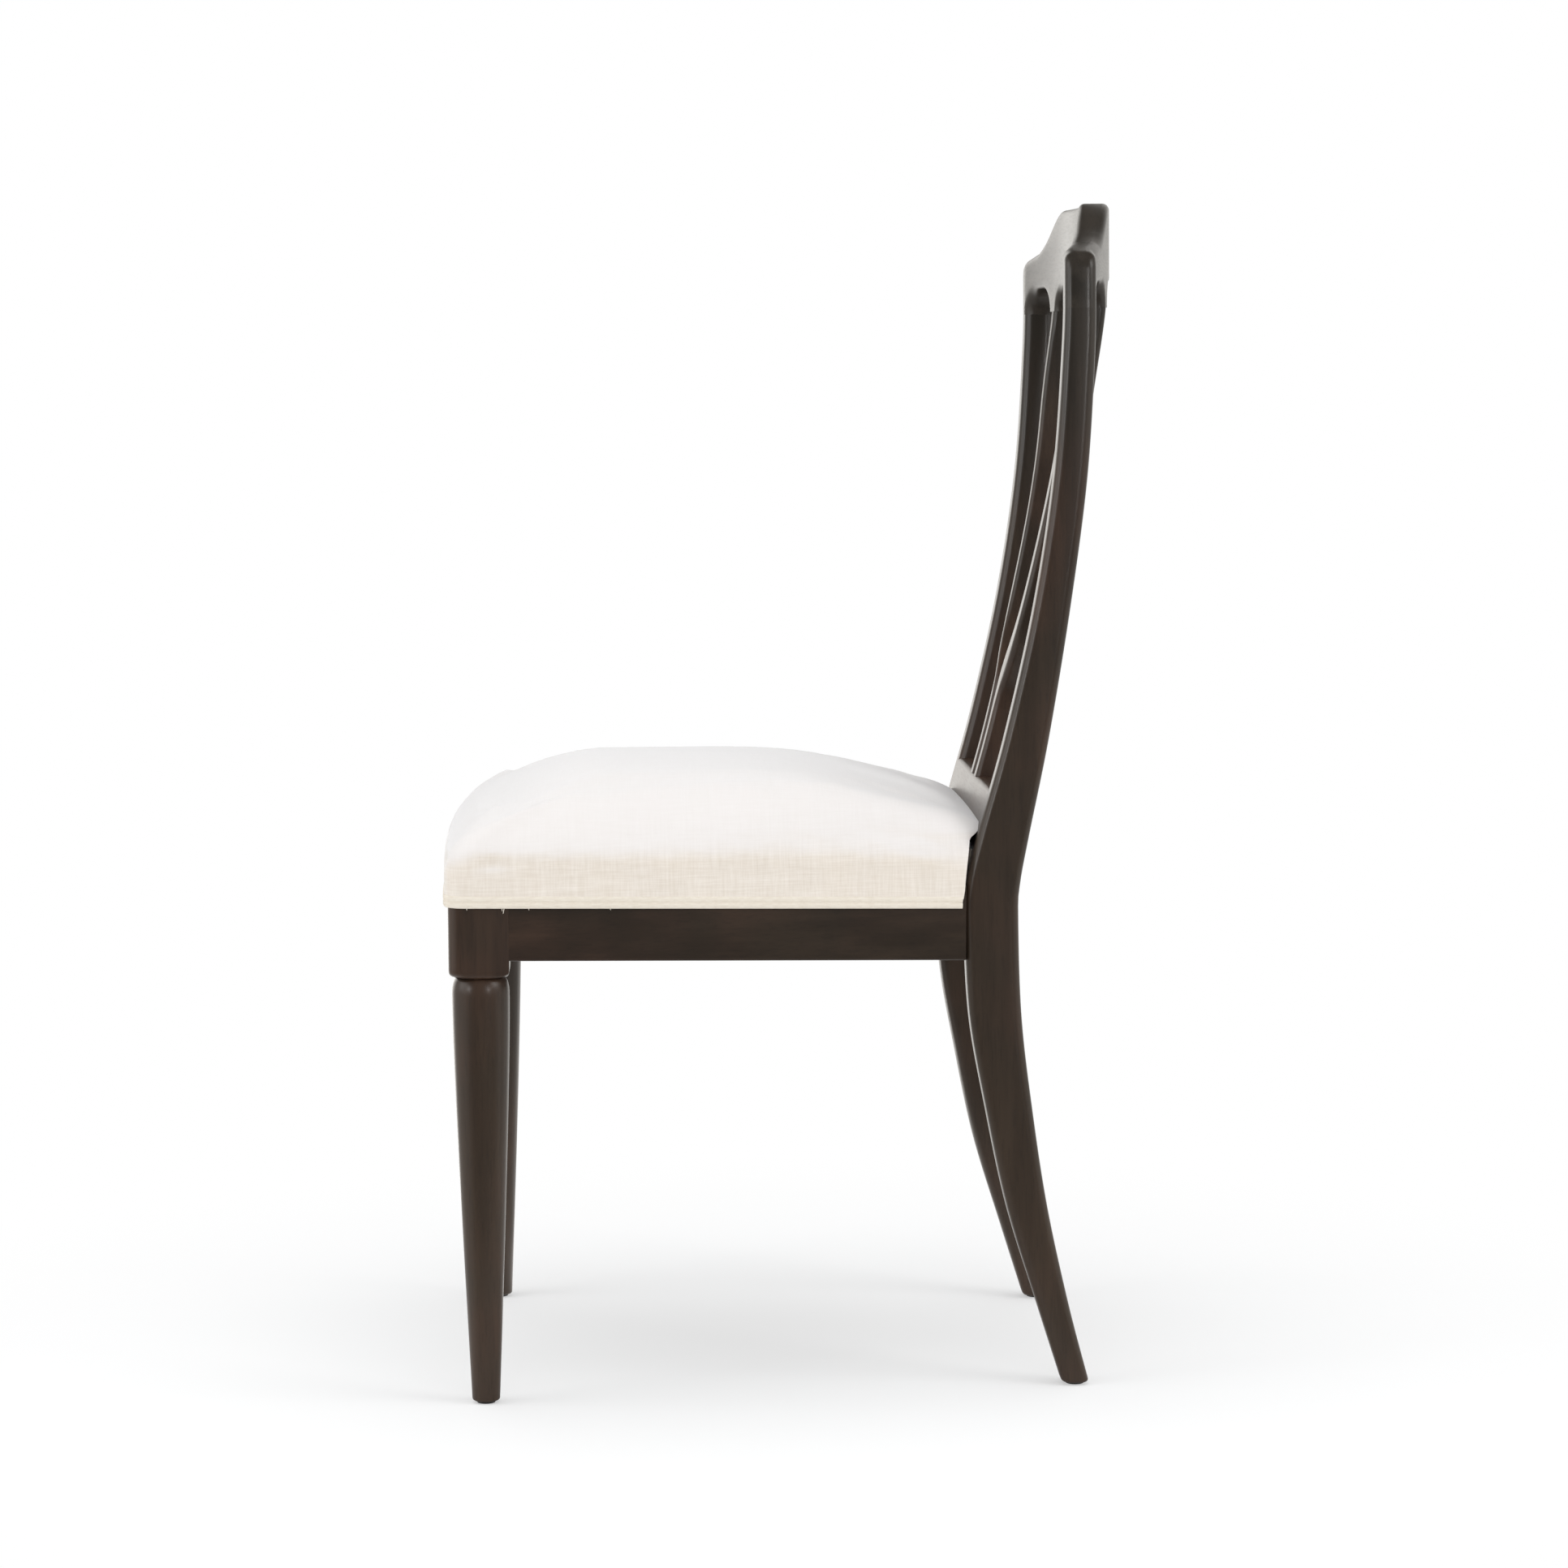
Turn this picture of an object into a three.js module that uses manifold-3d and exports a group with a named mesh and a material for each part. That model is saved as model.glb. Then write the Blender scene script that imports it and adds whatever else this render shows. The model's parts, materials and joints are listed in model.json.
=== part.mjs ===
// Upholstered side chair with sabre rear legs, a yoke crest rail and two curved back ribs.
// Millimetres, +Z up, front towards -Y; "left" is towards -X, as seen from the front.
import * as THREE from "three";
import { mergeVertices } from "three/addons/utils/BufferGeometryUtils.js";
import Module from "manifold-3d";

const wasm = await Module();
wasm.setup();

// Clearances
const glueGap = 0.3;
const overrun = 20;

// Overall sizes
const chairHeight = 966;
const glideThickness = 2;

// Seat frame in plan, at the outer faces
const frameFrontHalf = 242;
const frameDepth = 417;
const frameBow = 7;
const frameCorner = 16;
const seatFall = 12;

// Seat frame: its top edge at the front sets the height of the seat and all that joins it
const railTop = 424;
const railHeight = 62;
const railThickness = 22;
const railEase = 1.5;

// Front legs, each with its middle set in from the frame's side and front
const legSideInset = 27;
const legFrontInset = 24.5;
const legBlockWidth = 47;
const legBlockDrop = 8;
const legNeckDrop = 6.5;
const legNeckDiameter = 37;
const legShoulderDrop = 13.5;
const legShoulderDiameter = 45;
const legFootDiameter = 22.5;
const legFootEase = 2;
const legSpigotDiameter = 30;
const blockCornerProud = 1;

// Rear posts
const postWidth = 27;
const postSeatCentre = 167;
const postTopSplay = 12;
const postFootSplay = 10.5;
const postSeatDrop = 39;
const postSeatY = 168.3;
const postFootSweep = 67;
const postBackSweep = 72.5;
const postSeatDepth = 44.5;
const postCorner = 5;
const postEase = 2.5;

// Crest rail
const crestThickness = 25;
const crestBow = 29;
const crestBowPower = 1.6;
const crestEndFall = 38;
const crestEndRadius = 20;
const crestPlateauHalf = 76;
const crestShoulderHalf = 156;
const crestShoulderFall = 36;
const crestDepth = 91;
const crestArchRise = 25;
const crestRibNeck = 20;
const crestCorner = 6;
const crestSharpCorner = 0.8;

// Ribs of the back
const ribWidth = 19;
const ribDepth = 24;
const ribCorner = 5;
const ribTopSpacing = 204;
const ribFlare = 1;
const ribTenonWidth = 11;
const ribTenonDepth = 12;
const ribTenonLength = 12;

// Lower back rail
const lowerRailRise = 17;
const lowerRailHeight = 47;
const lowerRailThickness = 22;
const lowerRailCorner = 3;

// Rear seat rail, set back from the front of the posts
const rearRailSetback = 4;
const rearRailThickness = 22;

// Tenons and mortises of the seat frame and the lower back rail
const tenonThickness = 9;
const tenonLength = 16;
const tenonShoulder = 8;

// Dowels
const dowelDiameter = 9;
const dowelLength = 32;
const dowelSpread = 30;
const crestDowelSpread = 13;
const dowelSides = 12;

// Corner blocks and their screws
const blockReach = 62;
const blockInset = 5;
const blockHeight = 46;
const screwShank = 4.5;
const screwHead = 8.5;
const screwHeadHeight = 3;
const screwBite = 12;
const screwLength = 34;
const screwSides = 10;
const screwHeightRise = 12;

// Seat deck, foam, cover and welt
const deckThickness = 12;
const deckInset = 4;
const coverProud = 2.6;
const coverThickness = 1.8;
const coverEdgeRise = 6;
const coverPostGap = 2;
const crownRise = 89;
const crownSetback = 187;
const crownRearFall = 39;
const crownSideFall = 9;
const roundFront = 130;
const roundSideFront = 112;
const roundSideRear = 34;
const roundRear = 15;
const weltCord = 5.2;
const weltDepth = 3.4;
const weltDrop = 18.4;

// Dust cover and glides
const dustThickness = 0.8;
const glideDiameter = 15;
const glideNail = 2.6;
const glideNailLength = 12;
const glideSides = 16;

const woodDark = { color: 0x372e29, roughness: 0.42, metalness: 0 };
const woodRaw = { color: 0xb79b74, roughness: 0.75, metalness: 0 };
const linen = { color: 0xe9e0d4, roughness: 0.95, metalness: 0 };
const foam = { color: 0xe8dca8, roughness: 1, metalness: 0 };
const cambric = { color: 0x1c1c1e, roughness: 0.95, metalness: 0 };
const steel = { color: 0xb8b8b4, roughness: 0.35, metalness: 1 };
const nylon = { color: 0x26221f, roughness: 0.55, metalness: 0 };

// Heights that follow the seat frame
const railBottom = railTop - railHeight;
const legBlockBottom = railBottom - legBlockDrop;
const legNeckHeight = legBlockBottom - legNeckDrop;
const legShoulderHeight = legNeckHeight - legShoulderDrop;
const postSeatHeight = railTop - postSeatDrop;
const lowerRailBottom = railTop + lowerRailRise;
const lowerRailTop = lowerRailBottom + lowerRailHeight;
const coverEdgeHeight = railTop + coverEdgeRise;
const crownHeight = railTop + crownRise;
const weltBottom = railTop - weltDrop;

// Places shared by pieces that meet
const postTop = chairHeight - crestDepth;
const crestArchHeight = postTop + crestArchRise;
const frameRearY = postSeatY - postSeatDepth / 2;
const frameFrontY = frameRearY - frameDepth;
const crownY = frameFrontY + crownSetback;
const legX = frameFrontHalf - legSideInset;
const legY = frameFrontY + legFrontInset;
const rearRailFrontY = frameRearY + rearRailSetback;
const coverHem = weltBottom + 2 * weltCord + glueGap;

const chair = new THREE.Group();

function addNode(name, geometry, look) {
  const mesh = new THREE.Mesh(geometry, new THREE.MeshStandardMaterial(look));
  mesh.geometry.computeVertexNormals();
  mesh.name = name;
  chair.add(mesh);
}

// Adds a piece and its mirror image across the middle plane of the chair.
function addPair(name, solid, look) {
  addNode(name + "_left", geometryOf(mirrored(solid)), look);
  addNode(name + "_right", geometryOf(solid), look);
}

// A three.js geometry as a solid that can be joined and cut.
function solidOf(geometry) {
  const bare = geometry.clone();
  bare.deleteAttribute("normal");
  bare.deleteAttribute("uv");
  const merged = mergeVertices(bare, glueGap / 100);
  return new wasm.Manifold(
    new wasm.Mesh({
      numProp: 3,
      vertProperties: new Float32Array(merged.attributes.position.array),
      triVerts: new Uint32Array(merged.index.array),
    }),
  );
}

function geometryOf(solid) {
  const mesh = solid.getMesh();
  return new THREE.BufferGeometry()
    .setAttribute("position", new THREE.BufferAttribute(mesh.vertProperties, 3))
    .setIndex(new THREE.BufferAttribute(mesh.triVerts, 1));
}

function mirrored(solid) {
  return solid.mirror([1, 0, 0]);
}

// A closed skin through rings of equal counts, with a flat fan on each end.
function loft(rings) {
  const count = rings[0].length;
  const points = rings.flat();
  const ends = [rings[0], rings[rings.length - 1]];
  ends.forEach((ring) => {
    const middle = ring.reduce((sum, p) => sum.add(p), new THREE.Vector3());
    points.push(middle.divideScalar(count));
  });
  const faces = [];
  for (let r = 0; r + 1 < rings.length; r++) {
    for (let i = 0; i < count; i++) {
      const a = r * count + i;
      const b = r * count + ((i + 1) % count);
      faces.push(a, b, b + count, a, b + count, a + count);
    }
  }
  const top = (rings.length - 1) * count;
  for (let i = 0; i < count; i++) {
    const next = (i + 1) % count;
    faces.push(next, i, points.length - 2);
    faces.push(top + i, top + next, points.length - 1);
  }
  if (volumeOf(points, faces) < 0) faces.reverse();
  return new THREE.BufferGeometry().setFromPoints(points).setIndex(faces);
}

function volumeOf(points, faces) {
  let volume = 0;
  const cross = new THREE.Vector3();
  for (let i = 0; i < faces.length; i += 3) {
    cross.crossVectors(points[faces[i + 1]], points[faces[i + 2]]);
    volume += points[faces[i]].dot(cross) / 6;
  }
  return volume;
}

// Points of a rectangle about its centre, with each corner rounded by its own radius.
function roundedRectangle(width, height, radii, steps) {
  const signs = [
    [1, 1],
    [-1, 1],
    [-1, -1],
    [1, -1],
  ];
  const points = [];
  signs.forEach(([sx, sy], corner) => {
    const radius = Math.min(radii[corner], width / 2, height / 2);
    for (let i = 0; i <= steps; i++) {
      const angle = ((corner + i / steps) * Math.PI) / 2;
      const x = sx * (width / 2 - radius) + radius * Math.cos(angle);
      const y = sy * (height / 2 - radius) + radius * Math.sin(angle);
      points.push([x, y]);
    }
  });
  return points;
}

function box(x0, x1, y0, y1, z0, z1) {
  const geometry = new THREE.BoxGeometry(x1 - x0, y1 - y0, z1 - z0);
  geometry.translate((x0 + x1) / 2, (y0 + y1) / 2, (z0 + z1) / 2);
  return solidOf(geometry);
}

// A round bar from one point to another.
function bar(from, to, diameter, sides) {
  const along = to.clone().sub(from);
  const geometry = new THREE.CylinderGeometry(diameter / 2, diameter / 2, along.length(), sides);
  const up = new THREE.Vector3(0, 1, 0);
  const turn = new THREE.Quaternion().setFromUnitVectors(up, along.clone().normalize());
  geometry.applyQuaternion(turn);
  const middle = from.clone().add(to).divideScalar(2);
  geometry.translate(middle.x, middle.y, middle.z);
  return solidOf(geometry);
}

// How far the seat frame has fallen at a distance back from its front edge.
function fallAt(y) {
  return (-seatFall * (y - frameFrontY)) / (frameRearY - frameFrontY);
}

// Tips a solid that was made level into the slope of the seat.
function sloped(solid) {
  return solid.warp((vertex) => {
    vertex[2] += fallAt(vertex[1]);
  });
}

// Rear posts

// Shares of the post's height, its foot or back sweep, and its depth at the seat.
const postLegShares = [
  [0, 1, 0.5],
  [0.17, 0.725, 0.585],
  [0.38, 0.418, 0.75],
  [0.59, 0.205, 0.86],
  [0.79, 0.045, 0.965],
  [1, 0, 1],
];
const postBackShares = [
  [0.055, 0.02, 1],
  [0.137, 0.139, 0.953],
  [0.3, 0.407, 0.816],
  [0.514, 0.691, 0.672],
  [0.729, 0.897, 0.618],
  [0.939, 0.99, 0.589],
  [1.04, 1, 0.565],
];

function postCurves() {
  const legRise = postSeatHeight - glideThickness;
  const backRise = postTop - postSeatHeight;
  const centres = [];
  const depths = [];
  postLegShares.forEach(([rise, sweep, depth]) => {
    const z = glideThickness + rise * legRise;
    centres.push(new THREE.Vector2(z, postSeatY + sweep * postFootSweep));
    depths.push(new THREE.Vector2(z, depth * postSeatDepth));
  });
  postBackShares.forEach(([rise, sweep, depth]) => {
    const z = postSeatHeight + rise * backRise;
    centres.push(new THREE.Vector2(z, postSeatY + sweep * postBackSweep));
    depths.push(new THREE.Vector2(z, depth * postSeatDepth));
  });
  const samples = centres.length * 12;
  const centre = new THREE.SplineCurve(centres).getPoints(samples);
  return { centre, depth: new THREE.SplineCurve(depths).getPoints(samples) };
}

const postLine = postCurves();

// Reads a value off a sampled curve whose x runs upwards.
function readOff(samples, x) {
  const next = samples.findIndex((p) => p.x >= x);
  if (next === 0) return samples[0].y;
  if (next < 0) return samples[samples.length - 1].y;
  const a = samples[next - 1];
  const b = samples[next];
  return a.y + ((b.y - a.y) * (x - a.x)) / (b.x - a.x);
}

function postY(z) {
  return readOff(postLine.centre, z);
}

function postDepth(z) {
  return readOff(postLine.depth, z);
}

function postFront(z) {
  return postY(z) - postDepth(z) / 2;
}

// Powers of the posts' sideways splay below and above the seat.
const splayPowers = [1.5, 1.3];

function postX(z) {
  const leg = Math.max(0, (postSeatHeight - z) / postSeatHeight);
  const back = Math.max(0, (z - postSeatHeight) / (postTop - postSeatHeight));
  const [legPower, backPower] = splayPowers;
  return postSeatCentre + postFootSplay * leg ** legPower + postTopSplay * back ** backPower;
}

function postRing(z, ease) {
  const width = postWidth - 2 * ease;
  const depth = postDepth(z) - 2 * ease;
  const radius = postCorner - ease / 2;
  const corners = roundedRectangle(width, depth, [radius, radius, radius, radius], 3);
  return corners.map(([x, y]) => new THREE.Vector3(postX(z) + x, postY(z) + y, z));
}

function postBlank() {
  const rings = [postRing(glideThickness, postEase), postRing(glideThickness + postEase, 0)];
  const rows = 26;
  for (let i = 1; i <= rows; i++) {
    const z = glideThickness + postEase + ((postTop - glideThickness - postEase) * i) / rows;
    rings.push(postRing(z, 0));
  }
  return solidOf(loft(rings));
}

// Seat frame in plan

function sideX(y) {
  const rearHalf = postSeatCentre + postWidth / 2;
  const share = (y - frameFrontY) / (frameRearY - frameFrontY);
  return frameFrontHalf + (rearHalf - frameFrontHalf) * share;
}

function frontY(x) {
  return frameFrontY - frameBow * (1 - (x / frameFrontHalf) ** 2);
}

// Half of the outer outline, from the middle of the front to the rear of the right side.
function halfOutline(bowSteps, cornerSteps, sideSteps) {
  const bowEnd = frameFrontHalf - frameCorner;
  const sideStart = frameFrontY + frameCorner;
  const points = [];
  for (let i = 0; i < bowSteps; i++) {
    const x = (bowEnd * i) / bowSteps;
    points.push(new THREE.Vector2(x, frontY(x)));
  }
  const corner = new THREE.QuadraticBezierCurve(
    new THREE.Vector2(bowEnd, frontY(bowEnd)),
    new THREE.Vector2(frameFrontHalf, frameFrontY),
    new THREE.Vector2(sideX(sideStart), sideStart),
  );
  points.push(...corner.getPoints(cornerSteps));
  for (let i = 1; i <= sideSteps; i++) {
    const y = sideStart + ((frameRearY - sideStart) * i) / sideSteps;
    points.push(new THREE.Vector2(sideX(y), y));
  }
  return points;
}

function fullOutline(bowSteps, cornerSteps, sideSteps) {
  const half = halfOutline(bowSteps, cornerSteps, sideSteps);
  const other = half.slice(1).map((p) => new THREE.Vector2(-p.x, p.y));
  return [...other.reverse(), ...half];
}

// Moves an outline outwards along the mitre of its edges; the rear edge stays where it is.
function offsetOutline(points, distance) {
  return points.map((point, i) => {
    const before = points[Math.max(i - 1, 0)];
    const after = points[Math.min(i + 1, points.length - 1)];
    const along = after.clone().sub(before).normalize();
    const out = new THREE.Vector2(along.y, -along.x);
    const atEnd = i === 0 || i === points.length - 1;
    if (atEnd) return new THREE.Vector2(point.x + distance / out.x, point.y);
    return point.clone().addScaledVector(out, distance);
  });
}

// The frame's plan, grown by a distance, as a level prism with an eased lower edge.
function planPrism(distance, z0, z1, ease) {
  const outline = offsetOutline(fullOutline(8, 4, 1), distance - ease);
  const shape = new THREE.Shape(outline);
  const geometry = new THREE.ExtrudeGeometry(shape, {
    depth: z1 - z0 - 2 * ease,
    bevelEnabled: ease > 0,
    bevelThickness: ease,
    bevelSize: ease,
    bevelSegments: 1,
  });
  geometry.translate(0, 0, z0 + ease);
  return solidOf(geometry);
}

// The space inside the frame, an inset in from the outer faces, as a level prism open past the rear.
function innerPrism(inset, z0, z1) {
  const steps = 8;
  const cornerY = frameFrontY + inset;
  const half = sideX(cornerY) - inset;
  const rearY = frameRearY + overrun;
  const shape = new THREE.Shape();
  shape.moveTo(inset - sideX(rearY), rearY);
  for (let i = 0; i <= steps; i++) {
    const x = half * ((2 * i) / steps - 1);
    shape.lineTo(x, frontY(x) + inset);
  }
  shape.lineTo(sideX(rearY) - inset, rearY);
  const geometry = new THREE.ExtrudeGeometry(shape, { depth: z1 - z0, bevelEnabled: false });
  geometry.translate(0, 0, z0);
  return solidOf(geometry);
}

const blockInner = legX - legBlockWidth / 2;
const blockRear = legY + legBlockWidth / 2;
const frameTall = [railBottom - overrun, railTop + overrun];

// Seat frame: the eased outer skin of the rails, hollow inside.
function railStock() {
  const outside = planPrism(0, railBottom, railTop + railEase, railEase);
  const inside = innerPrism(railThickness, ...frameTall);
  const far = chairHeight;
  const above = box(-far, far, -far, far, railTop, frameTall[1]);
  return outside.subtract(above).subtract(inside);
}

// Everything behind the curved front faces of the posts, with a clearance.
function behindPosts() {
  const steps = 8;
  const low = railBottom - overrun;
  const high = railTop + overrun;
  const profile = [
    [chairHeight, high],
    [chairHeight, low],
  ];
  for (let i = 0; i <= steps; i++) {
    const z = low + ((high - low) * i) / steps;
    profile.push([postFront(z) - glueGap, z]);
  }
  const ring = (x) => profile.map(([y, z]) => new THREE.Vector3(x, y, z));
  return solidOf(loft([ring(0), ring(chairHeight)]));
}

function sideRailBlank() {
  const keep = box(0, chairHeight, blockRear + glueGap, frameRearY + overrun / 4, ...frameTall);
  const body = sloped(railStock().intersect(keep)).subtract(behindPosts());
  return body.add(sideTenon(0));
}

function frontRailBlank() {
  const half = blockInner - glueGap;
  return sloped(railStock().intersect(box(-half, half, -chairHeight, blockRear, ...frameTall)));
}

// The side rail's tenon, or with a clearance its mortise in the post.
function sideTenon(clearance) {
  const start = clearance > 0 ? frameRearY - overrun : frameRearY - overrun / 2;
  const inner = sideX(frameRearY) - railThickness / 2 - tenonThickness / 2;
  const fall = fallAt(frameRearY);
  return box(
    inner - clearance,
    inner + tenonThickness + clearance,
    start,
    frameRearY + tenonLength + clearance,
    railBottom + fall + tenonShoulder - clearance,
    railTop + fall - tenonShoulder + clearance,
  );
}

// Rear seat rail, level, between the posts.
const rearRailBackY = rearRailFrontY + rearRailThickness;
const rearRailBottom = railBottom + fallAt(rearRailBackY);
const rearRailTop = railTop + fallAt(rearRailBackY);
const postInner = postSeatCentre - postWidth / 2;

function rearRailBlank() {
  const half = postInner - glueGap;
  const body = box(-half, half, rearRailFrontY, rearRailBackY, rearRailBottom, rearRailTop);
  return body.add(rearTenon(0)).add(mirrored(rearTenon(0)));
}

function rearTenon(clearance) {
  const middle = rearRailBackY - tenonThickness / 2 - glueGap;
  return box(
    postInner - overrun / 2,
    postInner + tenonThickness + clearance,
    middle - tenonThickness / 2 - clearance,
    middle + tenonThickness / 2 + clearance,
    rearRailBottom + tenonShoulder - clearance,
    rearRailTop - tenonShoulder + clearance,
  );
}

// Lower back rail, leaning with the posts
function lowerRailLean() {
  return (postFront(lowerRailTop) - postFront(lowerRailBottom)) / (lowerRailTop - lowerRailBottom);
}

function lowerRailRing(x) {
  const lean = lowerRailLean();
  const height = lowerRailTop - lowerRailBottom;
  const radii = [lowerRailCorner, lowerRailCorner, crestSharpCorner, crestSharpCorner];
  const section = roundedRectangle(lowerRailThickness, height, radii, 2);
  return section.map(([y, z]) => {
    const rise = lowerRailBottom + height / 2 + z;
    const front = postFront(lowerRailBottom) + lean * (rise - lowerRailBottom);
    return new THREE.Vector3(x, front + lowerRailThickness / 2 + y, rise);
  });
}

function lowerRailHalf() {
  return postX(lowerRailBottom) - postWidth / 2 - glueGap;
}

function lowerRailBlank() {
  const half = lowerRailHalf();
  return solidOf(loft([lowerRailRing(-half), lowerRailRing(half)]))
    .add(lowerTenon(0))
    .add(mirrored(lowerTenon(0)));
}

function lowerTenon(clearance) {
  const middleZ = (lowerRailBottom + lowerRailTop) / 2;
  const middleY = postFront(middleZ) + lowerRailThickness / 2;
  const half = lowerRailHalf();
  const tall = (lowerRailTop - lowerRailBottom) / 2 - tenonShoulder;
  return box(
    half - overrun / 2,
    half + tenonThickness + clearance,
    middleY - tenonThickness / 2 - clearance,
    middleY + tenonThickness / 2 + clearance,
    middleZ - tall - clearance,
    middleZ + tall + clearance,
  );
}

// Ribs of the back

// Shares of the rib's height between its rails and of its half spacing at the top.
const ribLineShares = [
  [0, 0.172],
  [0.115, 0.172],
  [0.165, 0.184],
  [0.205, 0.225],
  [0.24, 0.315],
  [0.275, 0.415],
  [0.32, 0.5],
  [0.38, 0.565],
  [0.46, 0.62],
  [0.56, 0.69],
  [0.67, 0.79],
  [0.8, 0.91],
  [0.92, 0.985],
  [1, 1],
];

const ribBase = lowerRailTop;
const ribHead = crestArchHeight - crestRibNeck;

function ribX(z) {
  const rise = (z - ribBase) / (ribHead - ribBase);
  return readOff(ribLine, rise) * (ribTopSpacing / 2);
}

const ribKeys = ribLineShares.map(([rise, reach]) => new THREE.Vector2(rise, reach));
const ribLine = new THREE.SplineCurve(ribKeys).getPoints(ribKeys.length * 10);

// Power at which the back's hollow grows with height.
const bowPower = 1.4;

// How far the back hollows behind the line of the posts, growing from the seat to the crest.
function bowAt(z) {
  const start = lowerRailTop + (ribHead - lowerRailTop) / 4;
  const share = Math.max(0, Math.min(1, (z - start) / (crestArchHeight - start)));
  return crestBow * share ** bowPower;
}

function ribFront(z) {
  const spread = 1 - (ribX(z) / postX(z)) ** crestBowPower;
  return postFront(Math.min(z, postTop)) + bowAt(z) * spread;
}

function ribRing(z, tilt, grow) {
  const width = ribWidth + 2 * grow;
  const radius = ribCorner;
  const section = roundedRectangle(width, ribDepth, [radius, radius, radius, radius], 2);
  const cos = Math.cos(tilt);
  const sin = Math.sin(tilt);
  return section.map(([u, v]) => {
    const y = ribFront(z) + ribDepth / 2 + v;
    return new THREE.Vector3(ribX(z) + u * cos, y, z - u * sin);
  });
}

function ribBlank() {
  const rows = 34;
  const rings = [];
  const start = ribBase + glueGap;
  const end = ribHead - glueGap;
  for (let i = 0; i <= rows; i++) {
    const z = start + ((end - start) * i) / rows;
    const step = (end - start) / rows / 2;
    const level = i === 0 || i === rows;
    const tilt = level ? 0 : Math.atan((ribX(z + step) - ribX(z - step)) / (2 * step));
    rings.push(ribRing(z, tilt, level ? ribFlare : 0));
  }
  return solidOf(loft(rings)).add(ribTenon(start, -1, 0)).add(ribTenon(end, 1, 0));
}

// A rib's tenon into the rail below (way -1) or above (way 1), or its mortise.
function ribTenon(z, way, clearance) {
  const middleX = ribX(z);
  const middleY = ribFront(z) + ribDepth / 2;
  const near = z - way * (clearance > 0 ? overrun : ribTenonLength / 4);
  const far = z + way * (ribTenonLength + clearance);
  return box(
    middleX - ribTenonWidth / 2 - clearance,
    middleX + ribTenonWidth / 2 + clearance,
    middleY - ribTenonDepth / 2 - clearance,
    middleY + ribTenonDepth / 2 + clearance,
    Math.min(near, far),
    Math.max(near, far),
  );
}

// Crest rail

const crestHalf = postX(postTop) + postWidth / 2;
const crestNeckInner = ribTopSpacing / 2 - ribWidth / 2 - ribFlare;
const crestNeckOuter = ribTopSpacing / 2 + ribWidth / 2 + ribFlare;
const crestPostInner = postX(postTop) - postWidth / 2;

function smooth(share) {
  const s = Math.max(0, Math.min(1, share));
  return s * s * (3 - 2 * s);
}

function crestTopZ(x) {
  const shoulder = (x - crestPlateauHalf) / (crestShoulderHalf - crestPlateauHalf);
  const fall = crestShoulderFall * smooth(shoulder);
  const outer = Math.max(0, x - crestShoulderHalf) / (crestHalf - crestShoulderHalf);
  const end = (crestEndFall - crestShoulderFall) * outer;
  const round = Math.max(0, x - (crestHalf - crestEndRadius)) / crestEndRadius;
  return chairHeight - fall - end - crestEndRadius * (1 - Math.sqrt(Math.max(0, 1 - round ** 2)));
}

// Height of a quarter-round hollow that runs from a flat underside up to the arch.
function hollow(distance, reach, rise) {
  const share = Math.max(0, Math.min(1, distance / reach));
  return rise * Math.sqrt(1 - (1 - share) ** 2);
}

function crestBottomZ(x) {
  const neckGap = crestNeckOuter - crestNeckInner;
  if (x <= crestNeckInner) return ribHead + hollow(crestNeckInner - x, crestRibNeck, crestRibNeck);
  if (x <= crestNeckInner + neckGap) return ribHead;
  if (x >= crestPostInner) return postTop;
  const fromNeck = hollow(x - crestNeckOuter, crestRibNeck, crestArchHeight - ribHead);
  const rise = crestArchHeight - postTop;
  const fromPost = hollow(crestPostInner - x, rise, rise);
  return Math.min(ribHead + fromNeck, postTop + fromPost);
}

function crestRing(x) {
  const side = Math.abs(x);
  const top = crestTopZ(side);
  const bottom = crestBottomZ(side) + glueGap;
  const seated = side >= crestPostInner || (side >= crestNeckInner && side <= crestNeckOuter);
  const low = seated ? crestSharpCorner : crestCorner;
  const high = Math.min(crestCorner, (top - bottom) / 3);
  const section = roundedRectangle(crestThickness, top - bottom, [high, high, low, low], 3);
  const hollowed = Math.max(0, 1 - (side / crestPostInner) ** crestBowPower);
  const middleY = postFront(postTop) + crestBow * hollowed + crestThickness / 2;
  const middleZ = (top + bottom) / 2;
  return section.map(([y, z]) => new THREE.Vector3(x, middleY + y, middleZ + z));
}

// Places along half of the crest where its outline turns or bends.
function crestStations() {
  const stations = [0, crestPlateauHalf / 2, crestPlateauHalf];
  const steps = 5;
  for (let i = 0; i <= steps; i++) {
    const quarter = 1 - Math.cos(((i / steps) * Math.PI) / 2);
    stations.push(crestNeckInner - crestRibNeck * quarter);
    stations.push(crestNeckOuter + crestRibNeck * quarter);
    stations.push(crestPostInner - (crestArchHeight - postTop) * quarter);
    stations.push(crestHalf - crestEndRadius * quarter);
  }
  stations.push((crestNeckOuter + crestShoulderHalf) / 2, crestShoulderHalf);
  const sorted = stations.sort((a, b) => a - b);
  return sorted.filter((x, i) => i === 0 || x - sorted[i - 1] > glueGap * 2);
}

function crestBlank() {
  const half = crestStations();
  const all = [...half.slice(1).map((x) => -x).reverse(), ...half];
  return solidOf(loft(all.map(crestRing)));
}

// Front legs: turned below the neck, a block above it

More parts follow.
